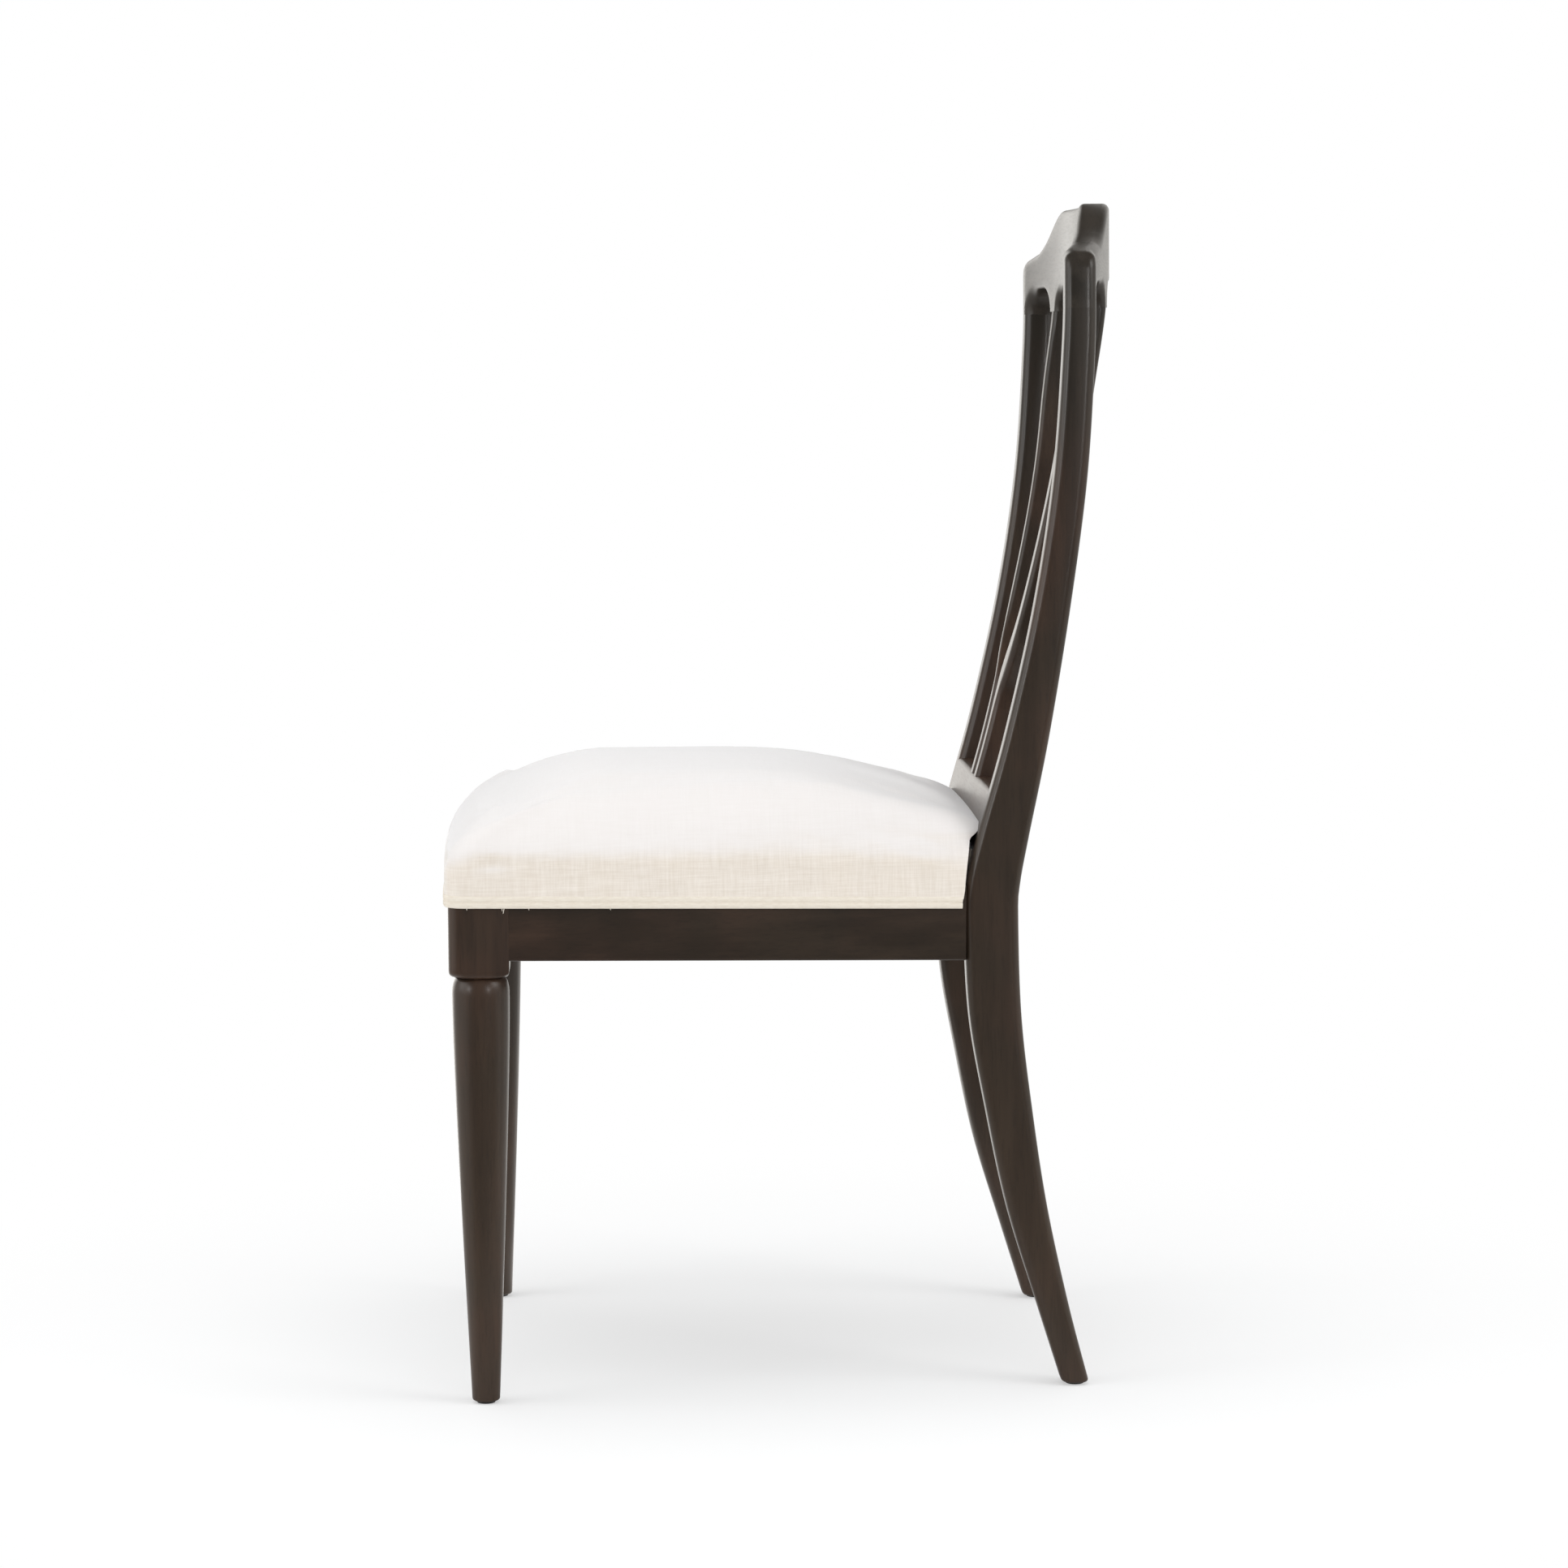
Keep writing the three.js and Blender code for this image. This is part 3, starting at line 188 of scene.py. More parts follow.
def make_camera():
    yaw, dip, roll = CAMERA_YAW, CAMERA_DIP, CAMERA_ROLL
    ahead = Vector((-math.cos(yaw) * math.cos(dip), math.sin(yaw) * math.cos(dip), -math.sin(dip)))
    level = Vector((math.sin(yaw), math.cos(yaw), 0))
    upright = level.cross(ahead)
    right = level * math.cos(roll) - upright * math.sin(roll)
    up = level * math.sin(roll) + upright * math.cos(roll)
    camera = bpy.data.objects.new("camera", bpy.data.cameras.new("camera"))
    camera.data.lens = CAMERA_LENS
    camera.matrix_world = Matrix.Translation(CAMERA_AT) @ Matrix((right, up, -ahead)).transposed().to_4x4()
    bpy.context.scene.collection.objects.link(camera)
    bpy.context.scene.camera = camera


# Finishes

FINE_DEPTH = 0.0002
GRAIN_DEPTH = 0.0003
WEAVE_DEPTH = 0.0004
THREAD_PITCH = 0.0009


class Value:
    """A number on a shader socket that can be used in sums."""

    def __init__(self, finish, socket):
        self.finish = finish
        self.socket = socket

    def maths(self, operation, *terms, clamp=False):
        return self.finish.add("Math", dict(enumerate(terms)), operation=operation, use_clamp=clamp)

    def __add__(self, other):
        return self.maths("ADD", self, other)

    def __sub__(self, other):
        return self.maths("SUBTRACT", self, other)

    def __rsub__(self, other):
        return self.maths("SUBTRACT", other, self)

    def __mul__(self, other):
        return self.maths("MULTIPLY", self, other)

    __radd__ = __add__
    __rmul__ = __mul__

    def sine(self):
        return self.maths("SINE", self)

    def size(self):
        return self.maths("ABSOLUTE", self)

    def clamped(self):
        return self.maths("ADD", self, 0, clamp=True)

    def ramp(self, low, high):
        """0 below low and 1 above high, with a soft step between."""
        ends = {"Value": self, "From Min": low, "From Max": high}
        return self.finish.add("MapRange", ends, interpolation_type="SMOOTHSTEP")

    def beside(self, output):
        """Another output of the same node."""
        return Value(self.finish, self.socket.node.outputs[output])


class Finish:
    """One material, built node by node."""

    def __init__(self, name, owner=None):
        self.material = owner or bpy.data.materials.new(name)
        self.material.use_nodes = True
        self.tree = self.material.node_tree
        self.tree.nodes.clear()

    def add(self, kind, inputs=None, output=0, **settings):
        node = self.tree.nodes.new("ShaderNode" + kind)
        for key, value in settings.items():
            setattr(node, key, value)
        for key, value in (inputs or {}).items():
            if isinstance(value, Value):
                self.tree.links.new(value.socket, node.inputs[key])
            else:
                node.inputs[key].default_value = value
        return Value(self, node.outputs[output]) if node.outputs else None

    def place(self, output="Object"):
        return self.add("TexCoord", output=output)

    def stretched(self, place, shares):
        return self.add("Mapping", {"Vector": place, "Scale": shares})

    def blend(self, factor, first, second):
        return self.add("Mix", {0: factor, 6: first, 7: second}, output=2, data_type="RGBA")

    def noise(self, place, scale, detail=2, roughness=0.5):
        inputs = {"Vector": place, "Scale": scale, "Detail": detail, "Roughness": roughness}
        return self.add("TexNoise", inputs)

    def surface(self, shade, roughness, bump, others=None):
        """The finished material; bump is a strength, a depth and the pattern that stands out."""
        strength, depth, height = bump
        normal = self.add("Bump", {"Strength": strength, "Distance": depth, "Height": height})
        inputs = {"Base Color": shade, "Roughness": roughness, "Normal": normal} | (others or {})
        self.add("OutputMaterial", {"Surface": self.add("BsdfPrincipled", inputs)})
        return self.material


def colour(red, green, blue):
    """An 8-bit sRGB colour as linear values."""
    levels = [level / 255 for level in (red, green, blue)]
    return (*[((v + 0.055) / 1.055) ** 2.4 if v > 0.04045 else v / 12.92 for v in levels], 1)


def plain_finish(name, grain, dark, pale, roughness, spread, strength, others=None):
    """A finish whose one fine noise varies its colour, its roughness and its bump."""
    finish = Finish(name)
    noise = finish.noise(finish.place(), *grain)
    shade = finish.blend(noise, colour(*dark), colour(*pale))
    return finish.surface(shade, roughness + spread * noise, (strength, FINE_DEPTH, noise), others)


def dark_wood(name, axis):
    """Espresso stain under satin lacquer, its grain along one axis, lighter low down and cooler on top."""
    finish = Finish(name)
    place = finish.place()
    height = finish.add("SeparateXYZ", {"Vector": place}, output=2)
    shares = [1, 1, 1]
    shares[axis] = 0.07
    along = finish.stretched(place, shares)
    figure = finish.noise(along, 46, 4, 0.6)
    pores = finish.noise(along, 640, 2, 0.6)
    patches = finish.noise(place, 9).ramp(0.36, 0.66)
    cool = finish.blend(figure.ramp(0.3, 0.72), colour(44, 36, 29), colour(56, 46, 37))
    warm = finish.blend(figure.ramp(0.25, 0.7), colour(54, 38, 29), colour(77, 53, 40))
    high = finish.blend(figure.ramp(0.3, 0.7), colour(40, 36, 31), colour(53, 47, 41))
    stain = finish.blend(patches * 0.5, cool, warm)
    stain = finish.blend(0.17 * (1 - height.ramp(0.1, 0.42)), stain, colour(92, 73, 57))
    stain = finish.blend(height.ramp(0.66, 0.9), stain, high)
    shade = finish.blend((1 - pores.ramp(0.3, 0.5)) * 0.2, stain, colour(22, 18, 15))
    roughness = 0.28 + 0.04 * patches + 0.03 * (1 - pores.ramp(0.3, 0.6))
    bump = (0.06, GRAIN_DEPTH, pores + figure * 0.5)
    return finish.surface(shade, roughness, bump, {"Specular IOR Level": 0.36})


def raw_wood(name):
    """Bare pale hardwood and plywood, hidden inside the seat."""
    finish = Finish(name)
    figure = finish.noise(finish.stretched(finish.place(), (0.08, 1, 1)), 60, 4, 0.6)
    shade = finish.blend(figure.ramp(0.3, 0.7), colour(168, 138, 98), colour(203, 176, 134))
    return finish.surface(shade, 0.6 + 0.2 * figure, (0.3, WEAVE_DEPTH, figure))


def weave(finish, place):
    """Plain weave with slubs along both threads: how pale and how high it stands, 0 to 1."""
    across = finish.add("SeparateXYZ", {"Vector": place})
    turns = 2 * math.pi / THREAD_PITCH
    drift = finish.noise(place, 50) * 4
    cross = (across * turns + drift).sine() * (across.beside("Y") * turns + drift).sine() * 0.5 + 0.5
    level = 0.06 * cross + 0.12
    for shares in ((0.06, 1, 1), (1, 0.06, 1)):
        run = finish.stretched(place, shares)
        level += 0.25 * finish.noise(run, 620, 3, 0.65).ramp(0.3, 0.7)
        level += 0.1 * finish.noise(run, 150).ramp(0.45, 0.75)
    return level


def linen(name):
    """Off-white linen: its threads follow the side map low down and the crown map on top, and faces turned
    upwards get a painted cool, pale tint of overhead light.
    """
    finish = Finish(name)
    side, crown = [weave(finish, finish.add("UVMap", uv_map=label)) for label in ("cloth", "crown")]
    normal = finish.add("NewGeometry", output="Normal")
    rise = finish.add("SeparateXYZ", {"Vector": normal}, output=2)
    upward = rise.ramp(0.72, 0.9)
    level = side * (1 - upward) + crown * upward
    faded = finish.noise(finish.place(), 22).ramp(0.35, 0.7)
    shade = finish.blend(level, colour(211, 200, 186), colour(241, 235, 228))
    shade = finish.blend(0.12 * faded, shade, colour(228, 216, 200))
    # Painted light: the more a face turns upwards, the more it is tinted a cool pale grey, as if lit by the
    # cool lamp overhead.
    shade = finish.blend(0.75 * rise.ramp(0, 0.6), shade, colour(227, 224, 224))
    others = {
        "Specular IOR Level": 0.2,
        "Sheen Weight": 0.5,
        "Sheen Tint": (0.94, 0.97, 1, 1),
        "Sheen Roughness": 0.45,
    }
    return finish.surface(shade, 0.85 + 0.1 * level, (0.3, WEAVE_DEPTH, level), others)


def cord_linen(name):
    """Linen wrapped on a cord: the weave follows the run and the turn round the cord."""
    finish = Finish(name)
    run, turn = [finish.add("Attribute", output="Fac", attribute_name=label) for label in ("run", "round")]
    around = turn * (WELT_CORD * math.pi)
    turns = 0.7 * 2 * math.pi / THREAD_PITCH
    cross = ((run + around) * turns).sine() * ((run - around) * turns).sine() * 0.5 + 0.5
    place = finish.add("CombineXYZ", {0: run, 1: around})
    slubs = finish.noise(finish.stretched(place, (0.3, 1, 1)), 480, 2, 0.6)
    level = 0.4 * cross + 0.6 * slubs.ramp(0.3, 0.7)
    shade = finish.blend(level, colour(219, 209, 194), colour(234, 227, 215))
    bump = (0.3, WEAVE_DEPTH, level)
    return finish.surface(shade, 0.86 + 0.1 * level, bump, {"Specular IOR Level": 0.2})


def dust_cloth(name):
    finish = Finish(name)
    place = finish.place()
    fibres = finish.noise(place, 900, 3, 0.7)
    specks = finish.noise(place, 160).ramp(0.35, 0.7)
    shade = finish.blend(fibres * 0.6 + specks * 0.4, colour(18, 18, 19), colour(44, 43, 44))
    return finish.surface(shade, 0.8 + 0.15 * fibres, (0.5, GRAIN_DEPTH, fibres + specks))


WOOD_ACROSS = dark_wood("stained_wood_across", 0)
WOOD_DEEP = dark_wood("stained_wood_front_to_back", 1)
WOOD_UPRIGHT = dark_wood("stained_wood_upright", 2)
RAW_WOOD = raw_wood("bare_wood")
LINEN = linen("off_white_linen")
WELT_LINEN = cord_linen("welt_linen")
DUST_CLOTH = dust_cloth("black_dust_cloth")
STEEL_LOOK = (420, 4, 0.7), (150, 148, 140), (202, 200, 190), 0.28, 0.2, 0.15
STEEL = plain_finish("plated_steel", *STEEL_LOOK, {"Metallic": 1})
NYLON = plain_finish("dark_nylon", (1400, 2, 0.6), (30, 27, 25), (46, 42, 39), 0.45, 0.15, 0.2)
THREAD_LOOK = (2200, 2, 0.6), (222, 211, 195), (244, 238, 229), 0.8, 0.1, 0.3
THREAD = plain_finish("sewing_thread", *THREAD_LOOK, {"Specular IOR Level": 0.2})


# Meshes


def closed_mesh(name, shape):
    """A mesh of points and faces, facing out."""
    points, faces = shape
    mesh = bpy.data.meshes.new(name)
    mesh.from_pydata(points, [], faces)
    body = bmesh.new()
    body.from_mesh(mesh)
    bmesh.ops.recalc_face_normals(body, faces=body.faces)
    body.to_mesh(mesh)
    body.free()
    return mesh


def place_mesh(name, mesh, finish, replaced, crease):
    """Puts a mesh in the scene as one piece, smooth except at sharp edges."""
    mesh.shade_smooth()
    mesh.set_sharp_from_angle(angle=math.radians(crease))
    if not mesh.materials:
        mesh.materials.append(finish)
    piece = bpy.data.objects.new(name, mesh)
    bpy.context.scene.collection.objects.link(piece)
    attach(piece, "root")
    if replaced:
        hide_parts(*replaced)
    return piece


def add_piece(name, shape, finish, replaced=(), crease=42, maps=None):
    """A closed piece in its place, with a map of its threads for each rule."""
    mesh = closed_mesh(name, shape)
    for label, rule in (maps or {}).items():
        layer = mesh.uv_layers.new(name=label)
        for face in mesh.polygons:
            for loop, corner in zip(face.loop_indices, face.vertices):
                layer.data[loop].uv = rule(face.normal, mesh.vertices[corner].co)
    return place_mesh(name, mesh, finish, replaced, crease)


def add_pair(name, shape, finish, node):
    """A piece on the right and its mirror image on the left."""
    points, faces = shape
    for side, way in (("right", 1), ("left", -1)):
        placed = [(way * x, y, z) for x, y, z in points]
        add_piece(f"{name}_{side}", (placed, faces), finish, (f"{node}_{side}",))


def loft(rings, caps=True):
    """Points and faces of a skin through rings of equal counts, with flat ends."""
    count = len(rings[0])
    points = [tuple(p) for ring in rings for p in ring]
    faces = []
    for row in range(len(rings) - 1):
        for i in range(count):
            a = row * count + i
            b = row * count + (i + 1) % count
            faces.append((a, b, b + count, a + count))
    if caps:
        faces.append(tuple(reversed(range(count))))
        faces.append(tuple(range(len(points) - count, len(points))))
    return points, faces


def joined(shapes):
    """Several shapes as one set of points and faces."""
    points = []
    faces = []
    for more_points, more_faces in shapes:
        faces += [tuple(i + len(points) for i in face) for face in more_faces]
        points += more_points
    return points, faces


def even(start, end, steps):
    """Numbers from start to end, both of them too, in even steps."""
    return [start + (end - start) * i / steps for i in range(steps + 1)]


def quarter(steps):
    """Even turns through a quarter of a circle."""
    return [(i / steps) * math.pi / 2 for i in range(steps + 1)]


def easing(radius, steps):
    """A rounded edge, as pairs: how far inside the side face and how far above the foot."""
    return [(radius * (1 - math.sin(turn)), radius * (1 - math.cos(turn))) for turn in quarter(steps)]


def bend(first, corner, last, steps):
    """Points of a curve from first to last that leans towards a corner."""
    return [first * (1 - t) ** 2 + corner * 2 * t * (1 - t) + last * t**2 for t in even(0, 1, steps)]


def rounded_section(width, depth, radius, steps=7):
    """Offsets round a rectangle about its middle; a list of radii has one for each corner."""
    radii = radius if isinstance(radius, list) else [radius] * 4
    ways = ((1, 1), (-1, 1), (-1, -1), (1, -1))
    offsets = []
    for corner, ((sx, sy), r) in enumerate(zip(ways, radii)):
        for i in range(steps + 1):
            angle = (corner + i / steps) * math.pi / 2
            x = sx * (width / 2 - r) + r * math.cos(angle)
            offsets.append((x, sy * (depth / 2 - r) + r * math.sin(angle)))
    return offsets


def soft_step(share):
    s = max(0.0, min(1.0, share))
    return s * s * (3 - 2 * s)


def spline(keys, samples):
    """A smooth line through keys, with even tangents, as the solids have it."""
    line = []
    last = len(keys) - 1
    for n in range(samples + 1):
        position = last * n / samples
        i = min(int(position), last - 1)
        t = position - i
        before, start = keys[max(i - 1, 0)], keys[i]
        end, after = keys[i + 1], keys[min(i + 2, last)]
        place = []
        for p0, p1, p2, p3 in zip(before, start, end, after):
            v0 = (p2 - p0) / 2
            v1 = (p3 - p1) / 2
            bend = (2 * p1 - 2 * p2 + v0 + v1) * t**3 + (3 * p2 - 3 * p1 - 2 * v0 - v1) * t**2
            place.append(bend + v0 * t + p1)
        line.append(place)
    return line


def read_off(line, x):
    """The value at x on a line whose first numbers run upwards."""
    if x <= line[0][0]:
        return line[0][1]
    for a, b in zip(line, line[1:]):
        if b[0] >= x:
            return a[1] + (b[1] - a[1]) * (x - a[0]) / (b[0] - a[0])
    return line[-1][1]


def fall_at(y):
    return -SEAT_FALL * (y - FRAME_FRONT_Y) / FRAME_DEPTH


# Rear posts: shares of height, of sweep, and of the depth at the seat

POST_LEG_SHARES = (
    (0, 1, 0.5),
    (0.17, 0.725, 0.585),
    (0.38, 0.418, 0.75),
    (0.59, 0.205, 0.86),
    (0.79, 0.045, 0.965),
    (1, 0, 1),
)
POST_BACK_SHARES = (
    (0.055, 0.02, 1),
    (0.137, 0.139, 0.953),
    (0.3, 0.407, 0.816),
    (0.514, 0.691, 0.672),
    (0.729, 0.897, 0.618),
    (0.939, 0.99, 0.589),
    (1.04, 1, 0.565),
)


def post_lines():
    leg = POST_SEAT_Z - FOOT_Z
    back = POST_TOP - POST_SEAT_Z
    keys = [(FOOT_Z + r * leg, POST_SEAT_Y + s * POST_FOOT_SWEEP, d) for r, s, d in POST_LEG_SHARES]
    keys += [(POST_SEAT_Z + r * back, POST_SEAT_Y + s * POST_BACK_SWEEP, d) for r, s, d in POST_BACK_SHARES]
    middle = spline([(z, y) for z, y, _ in keys], len(keys) * 24)
    depth = spline([(z, d * POST_SEAT_DEPTH) for z, _, d in keys], len(keys) * 24)
    return middle, depth


POST_MIDDLE, POST_DEPTH = post_lines()


def post_y(z):
    return read_off(POST_MIDDLE, z)


def post_depth(z):
    return read_off(POST_DEPTH, z)


def post_front(z):
    return post_y(z) - post_depth(z) / 2


def post_x(z):
    leg = max(0.0, (POST_SEAT_Z - z) / POST_SEAT_Z)
    back = max(0.0, (z - POST_SEAT_Z) / (POST_TOP - POST_SEAT_Z))
    return POST_SEAT_X + POST_FOOT_SPLAY * leg ** SPLAY_POWERS[0] + POST_TOP_SPLAY * back ** SPLAY_POWERS[1]


def post_ring(z, ease):
    width = POST_WIDTH - 2 * ease
    depth = post_depth(z) - 2 * ease
    radius = min(POST_EDGE, post_depth(z) * POST_EDGE_SHARE) - ease / 2
    return [(post_x(z) + x, post_y(z) + y, z) for x, y in rounded_section(width, depth, radius)]


def make_posts():
    rings = [post_ring(FOOT_Z + rise, inset) for inset, rise in easing(POST_FOOT_EASE, 5)[:-1]]
    rings += [post_ring(z, 0) for z in even(FOOT_Z + POST_FOOT_EASE, POST_TOP + GAP / 2, 110)]
    add_pair("swept_post", loft(rings), WOOD_UPRIGHT, "rear_post")


# Ribs of the back: shares of the rib's height and of its half spacing at the top

RIB_LINE_SHARES = (
    (0, 0.172),
    (0.115, 0.172),
    (0.165, 0.184),
    (0.205, 0.225),
    (0.24, 0.315),
    (0.275, 0.415),
    (0.32, 0.5),
    (0.38, 0.565),
    (0.46, 0.62),
    (0.56, 0.69),
    (0.67, 0.79),
    (0.8, 0.91),
    (0.92, 0.985),
    (1, 1),
)
RIB_LINE = spline(RIB_LINE_SHARES, len(RIB_LINE_SHARES) * 20)


def rib_x(z):
    return read_off(RIB_LINE, (z - LOWER_RAIL_TOP) / (RIB_HEAD - LOWER_RAIL_TOP)) * RIB_TOP_SPACING / 2


def back_bow(z):
    start = LOWER_RAIL_TOP + (RIB_HEAD - LOWER_RAIL_TOP) / 4
    share = max(0.0, min(1.0, (z - start) / (CREST_ARCH - start)))
    return BACK_BOW * share**BACK_BOW_POWER


def rib_free_front(z):
    spread = 1 - (rib_x(z) / post_x(z)) ** BACK_SPREAD_POWER
    return post_front(min(z, POST_TOP)) + back_bow(z) * spread


def rib_front(z):
    """The rib's front, running into the face of the crest at its head."""
    off = crest_front(rib_x(RIB_HEAD)) - rib_free_front(RIB_HEAD)
    return rib_free_front(z) + off * soft_step((z - RIB_HEAD + RIB_MEET_REACH) / RIB_MEET_REACH)


def rib_flare(z):
    ends = min(z - LOWER_RAIL_TOP, RIB_HEAD - z)
    return RIB_FLARE * (1 - soft_step(ends / RIB_FLARE_REACH))


def rib_ring(z, tilt):
    section = rounded_section(RIB_WIDTH + 2 * rib_flare(z), RIB_DEPTH, RIB_EDGE)
    y = rib_front(z) + RIB_DEPTH / 2
    return [(rib_x(z) + u * math.cos(tilt), y + v, z - u * math.sin(tilt)) for u, v in section]


def make_ribs():
    rows = 96
    step = (RIB_HEAD - LOWER_RAIL_TOP) / rows
    rings = []
    for i, z in enumerate(even(LOWER_RAIL_TOP, RIB_HEAD + GAP / 2, rows)):
        slope = (rib_x(z + step) - rib_x(z - step)) / (2 * step)
        rings.append(rib_ring(z, math.atan(slope) * min(1, i / 4, (rows - i) / 4)))
    add_pair("curved_rib", loft(rings), WOOD_UPRIGHT, "back_rib")


# Crest rail

CREST_HALF = post_x(POST_TOP) + POST_WIDTH / 2
CREST_POST_INNER = post_x(POST_TOP) - POST_WIDTH / 2
NECK_INNER = RIB_TOP_SPACING / 2 - RIB_WIDTH / 2 - RIB_FLARE
NECK_OUTER = RIB_TOP_SPACING / 2 + RIB_WIDTH / 2 + RIB_FLARE
CREST_TURNS = 7
CREST_FACE_STEPS = 5


def crest_end_turn(x):
    """Share of the rounded end that lies inside x."""
    return min(1.0, max(0.0, x - CREST_HALF + CREST_END_REACH) / CREST_END_REACH)


def crest_top(x):
    fall = CREST_SHOULDER_FALL * soft_step((x - CREST_PLATEAU) / (CREST_SHOULDER - CREST_PLATEAU))
    outer = max(0.0, x - CREST_EAR_START) / (CREST_HALF - CREST_EAR_START)
    ear = CREST_EAR_FALL * outer**CREST_EAR_POWER
    return CHAIR_HEIGHT - fall - ear - CREST_END_DROP * (1 - math.sqrt(1 - crest_end_turn(x) ** 2))


def crest_top_push(x):
    """Unit step into the wood from the top outline."""
    turn = crest_end_turn(x)
    if turn > 0:
        step = Vector((-turn / CREST_END_REACH, -math.sqrt(max(0.0, 1 - turn**2)) / CREST_END_DROP))
        return tuple(step.normalized())
    step = CREST_EDGE / 10
    slope = (crest_top(x + step) - crest_top(max(x - step, 0))) / (step + min(step, x))
    size = math.hypot(slope, 1)
    return (slope / size, -1 / size)


def crest_arc(middle, foot, radius, start=0):
    """A quarter of a hollow in the underside, each point with its unit step into the wood."""
    ways = [(math.sin(start + turn), math.cos(start + turn)) for turn in quarter(12)[1:]]
    return [(middle + radius * s, foot + radius * c, s, c) for s, c in ways]


def crest_underside():
    """Points along half of the underside, each with its unit step into the wood."""
    inner = NECK_INNER - CREST_RIB_NECK
    run = [(x, CREST_ARCH, 0, 1) for x in even(0, inner, 9)]
    run += crest_arc(inner, RIB_HEAD, CREST_RIB_NECK)
    for share in even(0, 1, 6)[1:]:
        run.append((NECK_INNER + (NECK_OUTER - NECK_INNER) * share, RIB_HEAD, 1 - 2 * share, 0))
    run += crest_arc(NECK_OUTER + CREST_RIB_NECK, RIB_HEAD, CREST_RIB_NECK, -math.pi / 2)
    outer = CREST_POST_INNER - CREST_ARCH_RISE
    run.append((outer, CREST_ARCH, 0, 1))
    run += crest_arc(outer, POST_TOP, CREST_ARCH_RISE)
    for turn in quarter(12)[1:]:
        share = math.sin(turn)
        x = CREST_POST_INNER + (CREST_HALF - CREST_POST_INNER) * share
        run.append((x, POST_TOP, 1 - 2 * share, 0))
    return run


def crest_proud(x):
    """How much thicker an ear of the crest is than its post: nothing on the right, a little on the left."""
    return CREST_PROUD * soft_step(0.5 - x / CREST_HALF)


def crest_front(x):
    hollowed = max(0.0, 1 - (abs(x) / CREST_BOW_END) ** CREST_BOW_POWER)
    return post_front(POST_TOP) - crest_proud(x) + CREST_BOW * hollowed


def crest_thick(x):
    """Thickness of the crest, which grows to that of its ears."""
    ear = post_depth(POST_TOP) + crest_proud(x)
    share = soft_step((abs(x) - NECK_OUTER) / (CREST_POST_INNER - NECK_OUTER))
    return CREST_THICK + (ear - CREST_THICK) * share


def crest_face(start, end):
    """Points of a flat face between two edges."""
    lines = [even(a, b, CREST_FACE_STEPS)[1:-1] for a, b in zip(start, end)]
    return list(zip(*lines))


def crest_ring(x, z, push_x, push_z, side):
    """A ring round the crest through one point of its underside."""
    ear = soft_step((x - CREST_PLATEAU) / (CREST_SHOULDER - CREST_PLATEAU))
    over_post = soft_step((x - CREST_POST_INNER + CREST_ARCH_RISE) / CREST_ARCH_RISE)
    top_x, top_z = crest_top_push(x)
    fronts = []
    for height, across, up, share in ((z, push_x, push_z, over_post), (crest_top(x), top_x, top_z, ear)):
        eased = easing(CREST_EDGE + (CREST_EAR_EDGE - CREST_EDGE) * share, CREST_TURNS - 1)
        fronts.append([(x + across * inset, height + up * inset, depth) for inset, depth in eased])
    thick = crest_thick(side * x)
    backs = [[(px, pz, thick - depth) for px, pz, depth in edge] for edge in fronts]
    (low, high), (low_back, high_back) = fronts, backs
    ring = low[::-1] + crest_face(low[0], high[0]) + high
    ring += high_back[::-1] + crest_face(high_back[0], low_back[0]) + low_back
    return [(side * px, crest_front(px) + depth, pz) for px, pz, depth in ring]


def crest_end_faces(first, count):
    """Strips across the end of the crest, from its lower edge to its upper edge."""
    top = CREST_TURNS + CREST_FACE_STEPS - 1
    low = [i % count for i in range(CREST_TURNS - 1, -CREST_TURNS - 1, -1)]
    high = list(range(top, top + 2 * CREST_TURNS))
    faces = [(low[0], *range(CREST_TURNS, top), high[0], high[1], low[1])]
    for i in range(1, len(low) - 2):
        faces.append((low[i], high[i], high[i + 1], low[i + 1]))
    faces.append((low[-2], high[-2], high[-1], *range(high[-1] + 1, count - CREST_TURNS), low[-1]))
    return [tuple(first + i for i in face) for face in faces]


def make_crest():
    half = crest_underside()
    rings = [crest_ring(*place, -1) for place in reversed(half[1:])]
    rings += [crest_ring(*place, 1) for place in half]
    points, faces = loft(rings, caps=False)
    count = len(rings[0])
    for first in (0, len(points) - count):
        faces += crest_end_faces(first, count)
    add_piece("yoke_crest", (points, faces), WOOD_ACROSS, ("crest_rail",), crease=60)


# Lower back rail


def post_inner_face(y, z):
    """The inner face of a post, with its rounded front edge, at a depth and a height."""
    radius = min(POST_EDGE, post_depth(z) * POST_EDGE_SHARE)
    short = max(0.0, post_front(z) + radius - y)
    return post_x(z) - POST_WIDTH / 2 + radius - math.sqrt(max(0.0, radius**2 - short**2))


def make_lower_rail():
    foot = post_front(LOWER_RAIL_BOTTOM)
    lean = (post_front(LOWER_RAIL_TOP) - foot) / LOWER_RAIL_HEIGHT
    end = []
    for y, z in rounded_section(LOWER_RAIL_THICK, LOWER_RAIL_HEIGHT, LOWER_RAIL_EDGE, 5):
        rise = LOWER_RAIL_HEIGHT / 2 + z
        place = foot + lean * rise + LOWER_RAIL_THICK / 2 + y
        height = LOWER_RAIL_BOTTOM + rise
        end.append((post_inner_face(place, height), place, height))
    rings = [[(share * x, y, z) for x, y, z in end] for share in even(-1, 1, 4)]
    add_piece("straight_lower_rail", loft(rings), WOOD_ACROSS, ("lower_back_rail",))


# Seat frame


def side_x(y):
    rear_half = POST_SEAT_X + POST_WIDTH / 2
    return FRAME_FRONT_HALF + (rear_half - FRAME_FRONT_HALF) * (y - FRAME_FRONT_Y) / FRAME_DEPTH


def front_y(x):
    return FRAME_FRONT_Y - FRAME_BOW * (1 - (x / FRAME_FRONT_HALF) ** 2)


